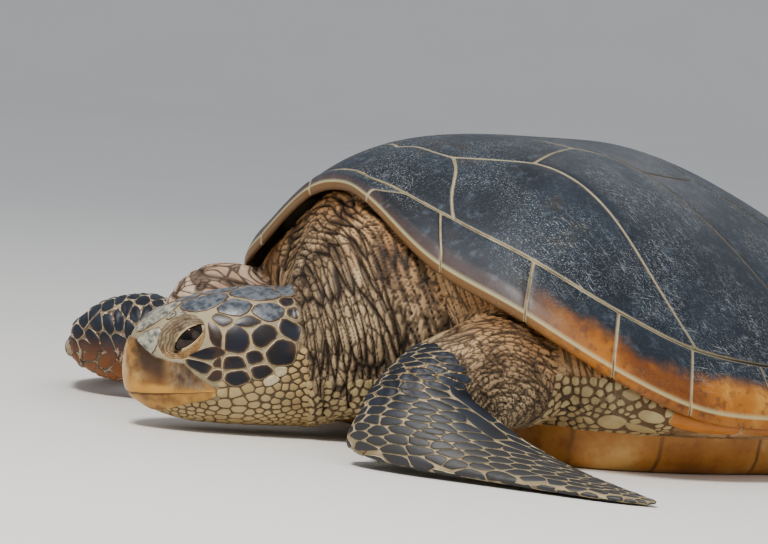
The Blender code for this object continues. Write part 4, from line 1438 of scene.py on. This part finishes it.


# %% [markdown]
# ## Scales of the head
# A turtle's head scales are few and large, and each has a name, so they are placed one by one on the head:
# along it from the rear, to the side and above its axis, with half their length and width and the tilt of
# their length, all in millimetres and degrees. The left side is mirrored to the right. Their horn is navy
# to black-brown with cream borders, greyer and worn on the top. Small pebbles fill what is left of the
# cheeks, the jaw and the throat.

# %% Head scales
HEAD_SCALES = {
    "parietal": (42, 26, 76, 29, 20, 0), "supraocular": (106, 30, 71, 26, 15, -8),
    "prefrontal": (154, 15, 58, 30, 17, -24), "loreal": (165, 30, 38, 14, 11, -35),
    "postparietal": (17, 20, 78, 9, 14, 0),
    "temporal_upper_1": (74, 47, 62, 19, 13, -6), "temporal_upper_2": (38, 54, 56, 19, 12, -4),
    "temporal_small_1": (88, 55, 53, 10, 8, 0), "temporal_small_2": (60, 60, 48, 13, 8, 0),
    "temporal_rear_1": (20, 62, 38, 9, 12, 0), "temporal_rear_2": (19, 44, 63, 7, 8, 0),
    "temporal_rear_3": (15, 54, 51, 6, 7, 0), "temporal_large_1": (47, 67, 32, 14, 13, 0),
    "temporal_large_2": (75, 65, 30, 13, 15, 15), "postocular_1": (100, 60, 38, 8, 11, 0),
    "tympanic": (31, 68, 11, 16, 16, 30), "tympanic_low": (32, 68, -8, 6, 5, 0),
    "cheek_1": (81, 67, 6, 12, 8, 0), "cheek_2": (60, 69, 9, 10, 8, 10), "cheek_3": (54, 69, -7, 12, 9, 10),
    "cheek_4": (81, 66, -10, 15, 9, 0), "subocular_1": (109, 61, 19, 15, 9, 12),
    "subocular_2": (117, 59, 5, 13, 7, 28), "cheek_5": (102, 63, -6, 8, 6, 10),
    "pale_rear": (45, 68, -17, 7, 5, 0), "lid_front_1": (140, 30, 62, 5, 4, 0),
    "lid_front_2": (130, 36, 63, 5, 4, 0), "jugal": (100, 63, 8, 5, 5, 0),
}
MIDLINE_SCALES = {"frontoparietal": (84, 0, 79, 20, 16, 0), "frontal": (116, 0, 72, 15, 13, 0),
                  "interparietal": (20, 0, 77, 10, 10, 0)}
# The stored wear of a scale: 1 is worn grey, 1.4 worn white and 2 pale throughout. All others have 0.
WEAR = {**dict.fromkeys(("parietal", "supraocular", "postparietal", "frontoparietal", "frontal",
                         "interparietal", "temporal_upper_1", "temporal_upper_2"), 1.0),
        **dict.fromkeys(("prefrontal", "loreal", "lid_front_1", "lid_front_2"), 1.4),
        **dict.fromkeys(("pale_rear", "tympanic_low"), 2.0)}
# Places that take their share but grow no scale: the nostrils, the eye sockets and the sides of the beak.
BARE = {"nostril": (189, 8, 38, 10, 9, 0), "socket": (133, 52, 41, 27, 19, -37),
        "beak_rear": (116, 58, -22, 9, 8, 0), "beak_side": (131, 55, -8, 12, 9, -40),
        "lore": (150, 47, 14, 13, 12, -30)}


def head_seeds(table):
    """Seeds from a table, mirrored unless they are on the midline."""
    rows = [(name, side, row) for name, row in table.items() for side in ((1, -1) if row[1] else (1,))]
    sizes = np.array([row for _, _, row in rows], float)
    tilt = np.radians(sizes[:, 5])[:, None]
    places = [on_head(row[0] * MM, row[1] * side * MM, row[2] * MM) for _, side, row in rows]
    lies = HEAD_AHEAD * np.cos(tilt) + HEAD_UP * np.sin(tilt)
    return Seeds(places, lies, sizes[:, 3] * MM, sizes[:, 4] * MM, [dice.random() for _ in rows],
                 [WEAR.get(name, 0.0) for name, _, _ in rows])


on_axis = points - HEAD_REAR
along_head, above_head = on_axis @ HEAD_AHEAD, on_axis @ HEAD_UP
placed = head_seeds({**HEAD_SCALES, **MIDLINE_SCALES})
bare = head_seeds(BARE)
low = (above_head < -0.012) & (along_head < 0.170) & ~((along_head > 0.100) & (above_head > -0.034))
rear = (along_head < 0.030) & (above_head < 0.012)
pebble_area = (share["head"] > 0.4) & (along_head > -0.012) & (low | rear) & (points[:, 2] > 0.5 * MM)
pebble_size = 3.6 * MM + 2.6 * MM * np.exp(-((along_head - 0.085) / 0.022) ** 2) * (above_head < -0.02)
pebbles = scatter(pebble_area, HEAD_AHEAD, 1.3 * pebble_size, pebble_size, together(placed, bare), seed=4)
print("head:", len(placed), "named scales,", len(pebbles), "pebbles")

# %% [markdown]
# ## Horn of the scales
# The same keratin as the plates, thinner. Near the border of a scale the pigment stops, so the horn is
# cream there and dark further in. The stored inset, 1 at 6 mm from the border, drives that change. Between
# scales the skin is brown. Polished by water, it is a little glossier than the plates.


# %% Scale finishes
def scale_finish(name, dark, border, brown, rough, bands, worn=None, wobble=0.20):
    """Horn that goes from a pale border over a brown edge to a dark middle, by three stops of the inset."""
    finish, shader, place = new_finish(name, 1.55, rough)
    inset, tone, extra = stored(finish, "inset", "tone", "extra")
    cloud = clouds(place, 130.0, 4.0, 0.6)
    broad = clouds(place, 28.0, 3.0)
    wander = maths("MULTIPLY_ADD", cloud, wobble, -0.5 * wobble)
    depth = plus(inset, wander)
    inner = mix(tone, dark[0], dark[1])
    inner = mix(ramp(broad, ((0.40, 0.0), (0.70, 0.6))), inner, dark[2])
    wear = times(extra, 0.5)
    if worn:
        rusty = clouds(place, 45.0, 3.0)
        inner = mix(ramp(rusty, ((0.52, 0.0), (0.68, 0.75))), inner, "#4a3222")
        is_worn = ramp(wear, ((0.30, 0.0), (0.48, 1.0)))
        worn_horn = ramp(cloud, ((0.36, worn[0]), (0.62, worn[1])))
        is_white = ramp(wear, ((0.52, 0.0), (0.66, 0.85)))
        speckle = ramp(cloud, ((0.36, "#6f6f68"), (0.50, "#aba896"), (0.60, "#c6c3b2")))
        worn_horn = mix(is_white, worn_horn, speckle)
        inner = mix(times(is_worn, 0.8), inner, worn_horn)
        depth = plus(depth, times(is_worn, 0.24))
    edge = ramp(cloud, ((0.34, border[0]), (0.62, border[1])))
    half = mix(ramp(depth, ((bands[0], 0.0), (bands[1], 1.0))), edge, brown)
    base = mix(ramp(depth, ((bands[1], 0.0), (bands[2], 1.0))), half, inner)
    base = mix(ramp(wear, ((0.80, 0.0), (0.95, 1.0))), base, edge)
    join_up(shader, colour=base, normal=bumps(cloud, 0.5 * MM))
    return finish


head_horn = scale_finish("head_keratin", ("#10131f", "#251a12", "#232838"), ("#aa9a7a", "#cdc1a0"), "#5e452c",
                         0.38, (0.06, 0.26, 0.66), worn=("#454c57", "#7c8186"), wobble=0.46)
pebble_horn = scale_finish("throat_keratin", ("#b7a077", "#a38a60", "#c6b48c"), ("#86683f", "#a0835a"),
                           "#a89066", 0.50, (0.02, 0.10, 0.3))

Coat("head_scales", head_horn, "scaled_skin").grow(
    placed, (bare, pebbles), gap=0.5 * MM, thick=0.9 * MM, limit=1.85, crown=0.5 * MM)
Coat("head_pebbles", pebble_horn, "scaled_skin").grow(
    pebbles, (placed, bare), gap=1.1 * MM, thick=0.7 * MM, limit=1.2, crown=0.3 * MM)

# %% [markdown]
# ## Eyes and lids
# The eyeball is a ball of 25 mm radius that bulges a little over the cheek, dark brown and glossy, because
# a film of tears covers it. The lids lie on the ball and run out onto the head as thick wrinkled skin, and
# between them is a long almond opening. Each lid is a grid from the lip outwards: around the opening it
# goes, and away from it. Its height is that of the ball or of the head, whichever is higher, softly joined.

# %% Eyes
def eyeball_finish():
    """A dark iris and pupil under a clear wet film: index 1.38 for the cornea, nearly no roughness.

    The stored reach is 0 in the middle of the pupil and 1 at the ball's outline."""
    finish, shader, place = new_finish("cornea", 1.38, 0.06)
    reach = stored(finish, "reach")
    streak = clouds(place, 700.0, 2.0)
    wander = times(streak, 0.06)
    base = ramp(plus(reach, wander), (
        (0.20, "#050404"), (0.27, "#2b1a10"), (0.44, "#38230f"), (0.52, "#140d09"), (0.80, "#2a1d14")))
    shader.inputs["Coat Weight"].default_value = 0.6
    shader.inputs["Coat Roughness"].default_value = 0.03
    join_up(shader, colour=base)
    return finish


def eyeball(eye, name, finish):
    rows, columns = 40, 64
    angle = np.linspace(0, np.pi * 0.62, rows)
    turn = np.arange(columns) / columns * 2 * np.pi
    ring = np.cos(turn)[:, None] * eye.along + np.sin(turn)[:, None] * eye.across
    spots = [eye.middle + EYE_RADIUS * (eye.out * math.cos(a) + ring * math.sin(a)) for a in angle[1:]]
    spots = np.vstack([*spots, eye.middle + EYE_RADIUS * eye.out])
    faces = tube_faces(rows - 1, columns, first=True)
    reach = np.concatenate([np.repeat(np.sin(np.minimum(angle[1:], np.pi / 2)), columns), [0.0]])
    made = mesh_piece(name, spots, faces, finish, {"reach": reach})
    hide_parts(name.replace("ball", ""))


eye_finish = eyeball_finish()
for eye, name in zip(EYES, ("eyeball_left", "eyeball_right")):
    eyeball(eye, name, eye_finish)

# %% Lids
OPENING = (2.5 * MM, -1.0 * MM, 20 * MM, 7.6 * MM)    # middle along and across, half length, half height
OPENING_SLANT = 1.2 * MM       # how far the front corner hangs and the rear corner rises
LID_ROWS, LID_COLUMNS = 34, 150
LIP_ROWS = 3                   # rows that turn in behind the lip, down to the eyeball
LID_THICK = 0.5 * MM           # over the eyeball
LID_SUNK = 1.2 * MM            # under the head's own surface, where the lid runs out
SOFT_JOIN = 3.5 * MM           # how widely the height of the ball runs over into that of the head
LIP_SWELL, LIP_TUCK = 1.6 * MM, 1.5 * MM
RAY_START = 0.09
head_loft = LOFTS["head"]
head_tree = BVHTree.FromPolygons(head_loft.reshape(-1, 3).tolist(), grid_faces(*head_loft.shape[:2]))


def bell(value, middle, width):
    """1 at the middle, falling softly to nothing about two widths away."""
    return math.exp(-((value - middle) / width) ** 2)


def head_height(eye, p, q):
    """How high the head's own surface stands over the eye's middle."""
    start = eye.middle + eye.along * p + eye.across * q + eye.out * RAY_START
    hit = head_tree.ray_cast(Vector(start), Vector(-eye.out))
    return 0.0 if hit[0] is None else RAY_START - hit[3]


def lid_wrinkles(eye, p, q, t, c, sn):
    """Wrinkles round the opening, stronger on the upper lid, and a fine net of creases over them."""
    noisy = noise.noise(Vector((p * 90, q * 90, 3.0 * eye.side)))
    beat = 0.5 + 0.5 * math.cos(2 * math.pi * (t * 6.0 + 0.9 * noisy + 0.5 * c))
    strength = 1.0 if sn > -0.1 else 0.35
    net = abs(noise.noise(Vector((p * 420, q * 420, 9.0))))
    return beat ** 3 * min(1.0, t * 6) * (1 - t ** 6) * strength, net


def lid_piece(eye, name, finish):
    """The lids of one eye, from the lip of the opening out to under the skin of the head."""
    spots, crease, warm, pale = [], [], [], []
    turn = np.arange(LID_COLUMNS) / LID_COLUMNS * 2 * np.pi
    for row in range(LID_ROWS):
        t = max(0.0, (row - LIP_ROWS) / (LID_ROWS - LIP_ROWS - 1))
        for a in turn:
            c, sn = math.cos(a), math.sin(a)
            almond = OPENING[3] * sn * (1.0 - 0.30 * abs(c) ** 3) - OPENING_SLANT * c
            inner = np.array([OPENING[0] + OPENING[2] * c, OPENING[1] + almond])
            outer = eye.socket + np.array([SOCKET_HALF[0] * c, SOCKET_HALF[1] * sn])
            p, q = inner + (outer - inner) * t
            radius2 = p * p + q * q
            ball = math.sqrt(max((EYE_RADIUS + LID_THICK) ** 2 - radius2, 0.0)) if radius2 < 0.0006 else 0.0
            face = head_height(eye, p, q) - LID_SUNK
            height = 0.5 * (ball + face + math.sqrt((ball - face) ** 2 + SOFT_JOIN ** 2))
            height += LIP_SWELL * bell(t, 0.06, 0.07) - 2.6 * MM * t ** 8
            wrinkle, net = lid_wrinkles(eye, p, q, t, c, sn)
            height -= 0.8 * MM * wrinkle + 0.35 * MM * (1 - min(1.0, net * 5)) * min(1.0, t * 4)
            corner = bell(q, inner[1], 1.3 * MM) if abs(c) > 0.72 and t < 0.33 else 0.0
            height -= 1.5 * MM * corner
            if row < LIP_ROWS:
                tuck = (LIP_ROWS - row) / LIP_ROWS
                height = math.sqrt(max(EYE_RADIUS ** 2 - radius2, 0.0))
                height += (1 - tuck) * 2 * MM - LIP_TUCK * tuck
                height = max(height, face - 4 * MM) if abs(c) > 0.9 else height
            spots.append(eye.middle + eye.along * p + eye.across * q + eye.out * height)
            # The stored crease darkens the wrinkles and the corners of the opening: painted shade.
            crease.append(max(wrinkle * 0.75, corner, 0.55 * (1 - min(1.0, net * 7)) * min(1, t * 3)))
            below, ahead = max(0.0, -sn), max(0.0, -c)
            warm.append(below * (1.0 - 0.4 * t) + 0.45 * ahead * max(0.0, 1 - abs(sn) * 2))
            pale.append(bell(t, 0.13, 0.10) * below ** 0.5 + 0.6 * bell(t, 0, 0.07))
    faces = [f[::-1] if eye.side < 0 else f for f in grid_faces(LID_ROWS, LID_COLUMNS)]
    made = mesh_piece(name, spots, faces, finish, {"crease": crease, "warm": warm, "pale": pale})


lid_finish, shader, place = new_finish("eyelid_skin", 1.45, 0.5)
dark_skin_and_shade, warm, pale = stored(lid_finish, "crease", "warm", "pale")
blotch = clouds(place, 90.0, 5.0, 0.65)
base = ramp(blotch, ((0.32, "#5c4e3e"), (0.48, "#85745c"), (0.66, "#aa987c")))
honey = ramp(blotch, ((0.35, "#a87c4a"), (0.65, "#d0ab74")))
base = mix(warm, base, honey)
base = mix(pale, base, "#dcc79c")
# Dark in the wrinkles and the corners of the opening: painted shade.
base = mix(dark_skin_and_shade, base, "#35251a")
join_up(shader, colour=base, normal=bumps(blotch, 0.0008))
for eye, name in zip(EYES, ("eyelids_left", "eyelids_right")):
    lid_piece(eye, name, lid_finish)

# %% [markdown]
# ## Beak
# The beak is a horn sheath over the jaws, with no teeth. The upper one overlaps the lower. Each is a grid
# in two angles seen from the middle of the head: round it from one cheek to the other, and down from the
# upper edge to the lower. Rays from the middle find the head's surface, and the sheath stands about a
# millimetre over it. The nostrils are pits near its upper edge, painted near black inside as painted shade.
# Its horn is honey-coloured, with a dark band behind the front, dark grey wear below the eye and a bright
# edge along the mouth, and a painted highlight along its very front. The lower sheath is darker brown at
# its top, painted shade under the upper one's lip.

# %% Beak
BEAK_MIDDLE = on_head(0.100, 0.0, 0.0)
NOSTRIL = (0.187, 0.0085, 0.033)       # along the head, to the side and above its axis
NOSTRIL_WIDE, NOSTRIL_DEEP = 3 * MM, 4 * MM
TUCK_ABOVE = (-1.0 * MM, -2.5 * MM)    # the two rows above a sheath, sunk under the skin
TUCK_BELOW = (0.9 * MM, 4.0 * MM)      # the two rows below it, and how far they draw down
TUCK_DROP = (0.6 * MM, 0.2 * MM)
BEAK_RADIUS = 0.09                     # about, to turn a drop into an angle
BEAK_TOP = ((0, 25.5), (14, 25.0), (24, 20.5), (34, 14.0), (57, 9.0), (69, -5.0), (79, -14.0), (86, -19.0))
BEAK_MOUTH = ((0, -9.5), (28, -15.0), (58, -20.0), (81, -21.0), (86, -20.0))
JAW_FOOT = ((0, -29.0), (28, -33.0), (58, -31.0), (78, -30.0), (88, -25.0))


def beak_spot(around, up, proud):
    """A place on the head seen from its middle in two angles, stood proud of it."""
    flat = HEAD_AHEAD * math.cos(around) + HEAD_LEFT * math.sin(around)
    ray = flat * math.cos(up) + HEAD_UP * math.sin(up)
    hit = head_tree.ray_cast(Vector(BEAK_MIDDLE), Vector(ray))[0]
    if hit is None:
        return BEAK_MIDDLE + ray * (0.095 + proud)
    return np.array(hit) + ray * proud


def sheath(name, above, below, rows, columns, proud, lip, finish, node, nostrils=False):
    """A horn sheath between two edges given in degrees round and up. Its edges are tucked under the skin."""
    half = math.radians(above[-1][0])
    spots, deep, down = [], [], []
    for column in np.linspace(-1, 1, columns):
        round_it = half * column
        degrees = abs(math.degrees(round_it))
        high, low = (math.radians(np.interp(degrees, *np.array(edge).T)) for edge in (above, below))
        for row in range(-2, rows + 3):
            t = min(max(row / rows, 0), 1)
            up = high + (low - high) * t
            swell = proud * (min(1.0, 0.35 + 5 * t) + lip * t ** 3)
            if row < 0:
                swell = TUCK_ABOVE[-row - 1]
            if row > rows:
                swell = proud * (1 + lip) - TUCK_BELOW[row - rows - 1]
                up -= TUCK_DROP[row - rows - 1] / BEAK_RADIUS
            swell += 0.25 * MM * noise.noise(Vector((round_it * 9, up * 5, 1.0)))
            spot = beak_spot(round_it, up, swell)
            pit = 0.0
            if nostrils and 0 <= row <= rows:
                along, beside, above_it = NOSTRIL
                near = min(np.linalg.norm(spot - on_head(along, side * beside, above_it)) for side in (1, -1))
                pit = math.exp(-(near / NOSTRIL_WIDE) ** 4)
            spot = spot - HEAD_AHEAD * NOSTRIL_DEEP * pit
            spot[2] = max(spot[2], 0.5 * MM)
            spots.append(spot)
            deep.append(pit)
            down.append(t)
    away = np.array(spots) - HEAD_REAR
    made = mesh_piece(name, spots, grid_faces(columns, rows + 5, closed=False), finish,
                      {"ahead": (away @ HEAD_AHEAD - 0.10) / 0.10, "level": (away @ HEAD_UP + 0.04) / 0.08,
                       "pit": deep, "edge_run": down})
    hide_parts(node)


beak_horn, shader, place = new_finish("beak_keratin", 1.54, 0.34)
ahead, level, pit, down = stored(beak_horn, "ahead", "level", "pit", "edge_run")
upright = add(place.id_data, "Mapping", {"Vector": place, "Scale": (1.0, 1.0, 0.16)}).outputs["Vector"]
streaks = clouds(upright, 260.0, 5.0, 0.65)
cloud = clouds(place, 70.0, 3.0)
wander = maths("MULTIPLY_ADD", cloud, 0.16, -0.08)
run = plus(ahead, wander)
honey = ramp(cloud, ((0.36, "#876338"), (0.50, "#a87f4a"), (0.66, "#bd9c66")))
honey = mix(ramp(down, ((0.58, 0.0), (0.92, 0.85))), honey, "#cf9a4b")
band = ramp(run, ((0.46, 0.0), (0.60, 1.0), (0.76, 1.0), (0.90, 0.0)))
fade = ramp(plus(down, wander), ((0.45, 1.0), (0.68, 0.75), (0.88, 0.0)))
band = times(band, fade)
brown = ramp(down, ((0.2, "#33231a"), (0.8, "#6b4220")))
base = mix(times(band, 0.92), honey, brown)
grey = ramp(run, ((0.08, 0.0), (0.22, 1.0), (0.44, 1.0), (0.58, 0.0)))
worn_low = ramp(plus(level, wander), ((0.16, 0.0), (0.36, 1.0)))
streaky = ramp(streaks, ((0.36, 0.65), (0.60, 1.0)))
grey = times(times(grey, worn_low), streaky)
grey_horn = ramp(cloud, ((0.40, "#43342a"), (0.60, "#665a4f")))
base = mix(times(grey, 0.9), base, grey_horn)
# Paler at the very front of the beak: a painted highlight.
base = mix(ramp(run, ((0.90, 0.0), (0.985, 0.75))), base, "#cfae7c")
# The nostril pits are painted near black: painted shade inside them.
base = mix(ramp(pit, ((0.25, 0.0), (0.6, 1.0))), base, "#0d0908")
join_up(shader, colour=base, normal=bumps(streaks, 0.0006, 0.4))

jaw_horn, shader, place = new_finish("jaw_keratin", 1.54, 0.38)
cloud = clouds(place, 60.0, 4.0)
down = stored(jaw_horn, "edge_run")
base = ramp(cloud, ((0.34, "#8c6536"), (0.50, "#b28748"), (0.68, "#c6a163")))
# Darker brown at the top of the lower sheath, under the upper one's lip: painted shade.
base = mix(ramp(down, ((0.05, 0.85), (0.16, 0.0))), base, "#4a2f1c")
join_up(shader, colour=base, normal=bumps(cloud, 0.0008, 0.4))

sheath("beak_upper_horn", BEAK_TOP, BEAK_MOUTH, 44, 230, 1.3 * MM, 0.6, beak_horn, "beak_upper",
       nostrils=True)
sheath("beak_lower_horn", BEAK_MOUTH, JAW_FOOT, 20, 150, 0.9 * MM, 0.0, jaw_horn, "beak_lower")

# %% [markdown]
# ## Plastron
# The belly shield is flat horn, honey-yellow to orange, in pairs of plates that meet along the midline. Its
# edge is rounded and runs up to the skin. The seams are grooves of about 3 mm, a millimetre deep.

# %% Plastron
PLASTRON_SEAMS = (-0.285, -0.205, -0.085, 0.060, 0.175, 0.275)
GROOVE_HALF, GROOVE_DEEP = 1.6 * MM, 1.2 * MM
EDGE_RADIUS = 22 * MM


def plastron_piece():
    angles = np.radians(np.arange(0, 180.5, 1.0))
    outline = plan(belly_reach(angles), angles)
    order = np.argsort(outline[:, 1])
    ys, half = outline[order, 1], outline[order, 0].clip(0)
    rows, columns = 190, 121
    spots, groove = [], []
    for y in np.linspace(ys[0] + 3 * MM, ys[-1] - 3 * MM, rows):
        width = np.interp(y, ys, half)
        ends = min(1.0, (y - ys[0]) / 0.02, (ys[-1] - y) / 0.02)
        for share_out in np.linspace(-1, 1, columns):
            x = width * share_out
            bent = y + 0.02 * share_out ** 2
            cut = max(bell(bent, seam, GROOVE_HALF) for seam in PLASTRON_SEAMS)
            cut = max(cut, bell(x, -2 * MM * math.sin(y * 30), GROOVE_HALF))
            edge = max(0.0, 1 - width * (1 - abs(share_out)) / EDGE_RADIUS)
            z = (PLASTRON_TOP + 3 * MM) * (1 - math.sqrt(1 - edge ** 2)) + 4 * MM * (1 - ends) ** 2
            x *= 1 + 4 * MM * edge / max(width, 0.05)
            spots.append((x, y, z + GROOVE_DEEP * cut * (1 - edge)))
            groove.append(cut)
    faces = [f[::-1] for f in grid_faces(rows, columns, closed=False)]
    made = mesh_piece("plastron_horn", spots, faces, belly_horn, {"groove": groove})
    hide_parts("plastron")


belly_horn, shader, place = new_finish("belly_keratin", 1.54, 0.4)
cloud = clouds(place, 14.0, 5.0, 0.6)
base = ramp(cloud, ((0.32, "#94602e"), (0.48, "#b27c40"), (0.66, "#c9a064")))
base = mix(stored(belly_horn, "groove"), base, "#6a4422")
join_up(shader, colour=base, normal=bumps(cloud, 0.001, 0.4))
plastron_piece()

# %% [markdown]
# ## Scales of the limbs
# On a flipper the scales lie in slanting rows: large along the front edge, where the water strikes, small
# in the middle, and a few long ones along the rear edge. They are slate-coloured with narrow cream borders,
# and amber low on the right flipper. They run onto the outer part of the arm and end where its folded skin
# begins. To place them, each skin point finds its share of the way along the limb and across it.


# %% Along and across a limb
def limb_frame(name):
    """For each skin point: the way along the limb, across it, and its places along and across."""
    rings = LOFTS[name]
    centres = rings.mean(1)
    ahead = np.gradient(centres, axis=0)
    ahead /= np.linalg.norm(ahead, axis=1, keepdims=True)
    chord = rings[:, 0] - rings[:, rings.shape[1] // 2]
    half = np.linalg.norm(chord, axis=1, keepdims=True) / 2
    chord = chord / (2 * half)
    away = (points ** 2).sum(1)[:, None] - 2 * points @ centres.T + (centres ** 2).sum(1)[None]
    near = away.argmin(1)
    across = np.einsum("ni,ni->n", points - centres[near], chord[near]) / half[near, 0]
    return ahead[near], chord[near], near / (len(rings) - 1), across


def flipper_seeds(name, size, ratio, lean, seed, taken, arm, from_run):
    """Seeds on one flipper and the outer part of its arm: large along its edges, slanting rows between."""
    ahead, chord, run, across = limb_frame(name)
    where = share[name] > 0.4
    if arm:
        _, _, arm_run, _ = limb_frame(arm)
        outer = (share[arm] > share[name]) & (arm_run > from_run)
        where = where | (outer & (share[arm] > 0.4))
        across = np.where(outer, 0.0, across)
        run = np.where(outer, 0.0, run)
    lies = ahead + lean * chord * (1 - 0.6 * np.abs(across))[:, None]
    front = smoothstep(0.72, 0.90, -across)
    trailing = smoothstep(0.74, 0.90, across)
    tip = smoothstep(0.55, 0.95, run)
    wide = size * (1 + 0.35 * front + 0.35 * trailing) * (1 - 0.45 * tip)
    long = wide * (ratio - 0.5 * front + 0.3 * trailing)
    return scatter(where & (points[:, 2] > 1.0 * MM), lies, long, wide, taken, seed=seed, spacing=0.80)


def flipper_finish(name, low_colour, low_share):
    """Slate horn with cream borders, towards the floor mixed with another colour."""
    finish = scale_finish(name, ("#141823", "#1f232d", "#2b3442"), ("#ab9c78", "#c9bd9c"), "#655c4c", 0.50,
                          (0.01, 0.09, 0.2))
    shader = finish.node_tree.nodes["Principled BSDF"]
    before = shader.inputs["Base Color"].links[0].from_socket
    height = axes_of(add(finish.node_tree, "TexCoord", {}).outputs["Object"])["Z"]
    inside = ramp(stored(finish, "inset"), ((0.15, 0.0), (0.35, 1.0)))
    low = ramp(times(height, 8.0), ((0.20, low_share), (0.62, 0.0)))
    low = times(low, inside)
    join_up(shader, colour=mix(low, before, low_colour))
    return finish


near_horn = flipper_finish("flipper_keratin", "#5d574f", 0.35)
far_horn = flipper_finish("amber_flipper_keratin", "#9a5c22", 0.85)
BIG_TRAILING = Seeds([(0.313, -0.481, 0.077), (0.336, -0.480, 0.058), (0.368, -0.455, 0.040)],
                     np.array([0.64, 0.60, -0.47]), np.array([29, 30, 22]) * MM,
                     np.array([8, 7, 6]) * MM, 0.2)
for name, size, ratio, lean, seed, finish, arm, from_run in (
        ("blade_left", 4.6 * MM, 2.9, 0.30, 31, near_horn, "arm_left", 0.55),
        ("blade_right", 7.5 * MM, 1.9, 0.30, 32, far_horn, "arm_right", 0.50),
        ("hind_left", 7.0 * MM, 1.6, 0.6, 33, near_horn, None, 1.0),
        ("hind_right", 7.0 * MM, 1.6, 0.6, 34, near_horn, None, 1.0)):
    taken = BIG_TRAILING if name == "blade_left" else None
    found = flipper_seeds(name, size, ratio, lean, seed, taken, arm, from_run)
    if taken is not None:
        found = together(found, taken)
    Coat(name + "_scales", finish, "scaled_skin").grow(
        found, gap=0.3 * MM, thick=0.8 * MM, limit=1.45, crown=0.3 * MM, lift=0.3 * MM)

# %% [markdown]
# ## Pebbles and plates of the sides
# Below the neck and between the arm and the plastron the skin carries round yellowish pebbles, a few of
# them as large as coins, with wide dark skin between. Behind them the bridge begins: a row of hard orange
# plates from the plastron to the rim. The tail has small scales like the flippers'.

# %% Pebbles and plates of the sides
patchy = 0.6 * sway_of(points, 0.06, 51) + 0.6 * sway_of(points, 0.022, 52)
side_horn = scale_finish("side_keratin", ("#b3a078", "#c0b084", "#9a845e"), ("#7b6044", "#94795a"), "#988260",
                         0.48, (0.02, 0.10, 0.26))
bridge_horn = scale_finish("bridge_keratin", ("#b8702e", "#cc8a42", "#8f5524"), ("#a98a5c", "#cdb888"),
                           "#b5894f", 0.42, (0.04, 0.16, 0.5))
x, y, z = points.T
off_floor = z > 2 * MM
chest = share["trunk"] + share["neck"] + share["arm_left"] + share["arm_right"] > 0.5


def side_seeds(table):
    rows = np.array([(x * side, y, z, along, up) for x, y, z, along, up in table for side in (1, -1)])
    return Seeds(rows[:, :3], np.array([0.0, 1.0, 0.0]), rows[:, 3] * MM, rows[:, 4] * MM,
                 [dice.random() for _ in rows])


bridge, coins = side_seeds(BRIDGE), side_seeds(COINS)
Coat("bridge_plates", bridge_horn, "belly_keratin").grow(
    bridge, (coins,), gap=1.4 * MM, thick=1.6 * MM, rounds=3, limit=1.45, crown=0.5 * MM)
wide = 4.2 * MM * (1 + 0.45 * patchy)
low_side = chest & (y > -0.365) & (y < -0.235) & (z < 0.105)
low_neck = (share["neck"] > 0.4) & (above_head < -0.040 + 0.036 * patchy) & (behind > 0.0) & (behind < 0.06)
armpit = (share["neck"] + share["trunk"] > 0.5) & (y < -0.40) & (z < 0.062 + 0.036 * patchy)
below = (low_side | low_neck | armpit) & off_floor
found = scatter(below, np.array([0.1, 0.4, 0.9]), 1.25 * wide, wide, together(coins, bridge), clear=1.05,
                seed=44, spacing=0.92)
Coat("side_pebbles", side_horn, "skin").grow(
    together(coins, found), (bridge,), gap=1.2 * MM, thick=0.7 * MM, limit=1.15, crown=0.4 * MM)
wide = 4.5 * MM * (1 + 0.35 * patchy)
found = scatter((share["tail"] > 0.5) & (z > 1 * MM), limb_frame("tail")[0], 1.3 * wide, 0.75 * wide,
                seed=43, spacing=0.9)
Coat("tail_scales", near_horn, "skin").grow(found, gap=1.0 * MM, thick=0.5 * MM, limit=1.0, crown=0.2 * MM)
# Between pebbles the skin is dark.
pebbled = (pebble_area | below).astype(float)
set_values(skin_mesh, {"crease": np.maximum(crease, 0.42 * smoothed(pebbled, edges, 3))})

# %% [markdown]
# ## Claws
# Each fore flipper has one short claw on its front edge, a curved cone of brown horn.

# %% Claws
CLAW_LONG, CLAW_WIDE, CLAW_TIP = 20 * MM, 6 * MM, 0.6 * MM
CLAW_RINGS, CLAW_SIDES = 12, 16


def claw(name, root, ahead):
    """A cone that first rises a little and then bends down."""
    up = np.array([0.0, 0.0, 1.0])
    side = np.cross(ahead, up)
    spots = []
    for t in np.linspace(0, 1, CLAW_RINGS):
        bend = 0.18 * math.sin(math.pi * t) - 0.22 * t * t
        middle = root + (ahead * t + up * bend) * CLAW_LONG
        radius = CLAW_WIDE * (1 - t) ** 0.7 + CLAW_TIP
        for a in np.arange(CLAW_SIDES) / CLAW_SIDES * 2 * np.pi:
            spots.append(middle + side * radius * math.cos(a) + up * 0.7 * radius * math.sin(a))
    faces = tube_faces(CLAW_RINGS, CLAW_SIDES, last=True)
    mesh_piece(name, [*spots, middle], faces, claw_horn)


claw_horn, shader, place = new_finish("claw_keratin", 1.54, 0.35)
cloud = clouds(place, 90.0, 3.0)
join_up(shader, colour=ramp(cloud, ((0.35, "#4a3a28"), (0.65, "#8a6f48"))))
for side in ("left", "right"):
    rings = LOFTS["blade_" + side]
    k = len(rings) // 5
    lead = rings[k, rings.shape[1] // 2]
    chord = lead - rings[k].mean(0)
    chord /= np.linalg.norm(chord)
    run = rings[k + 1].mean(0) - rings[k].mean(0)
    run /= np.linalg.norm(run)
    way = 0.12 * chord + run
    claw("claw_" + side, lead - chord * 7 * MM, way / np.linalg.norm(way))
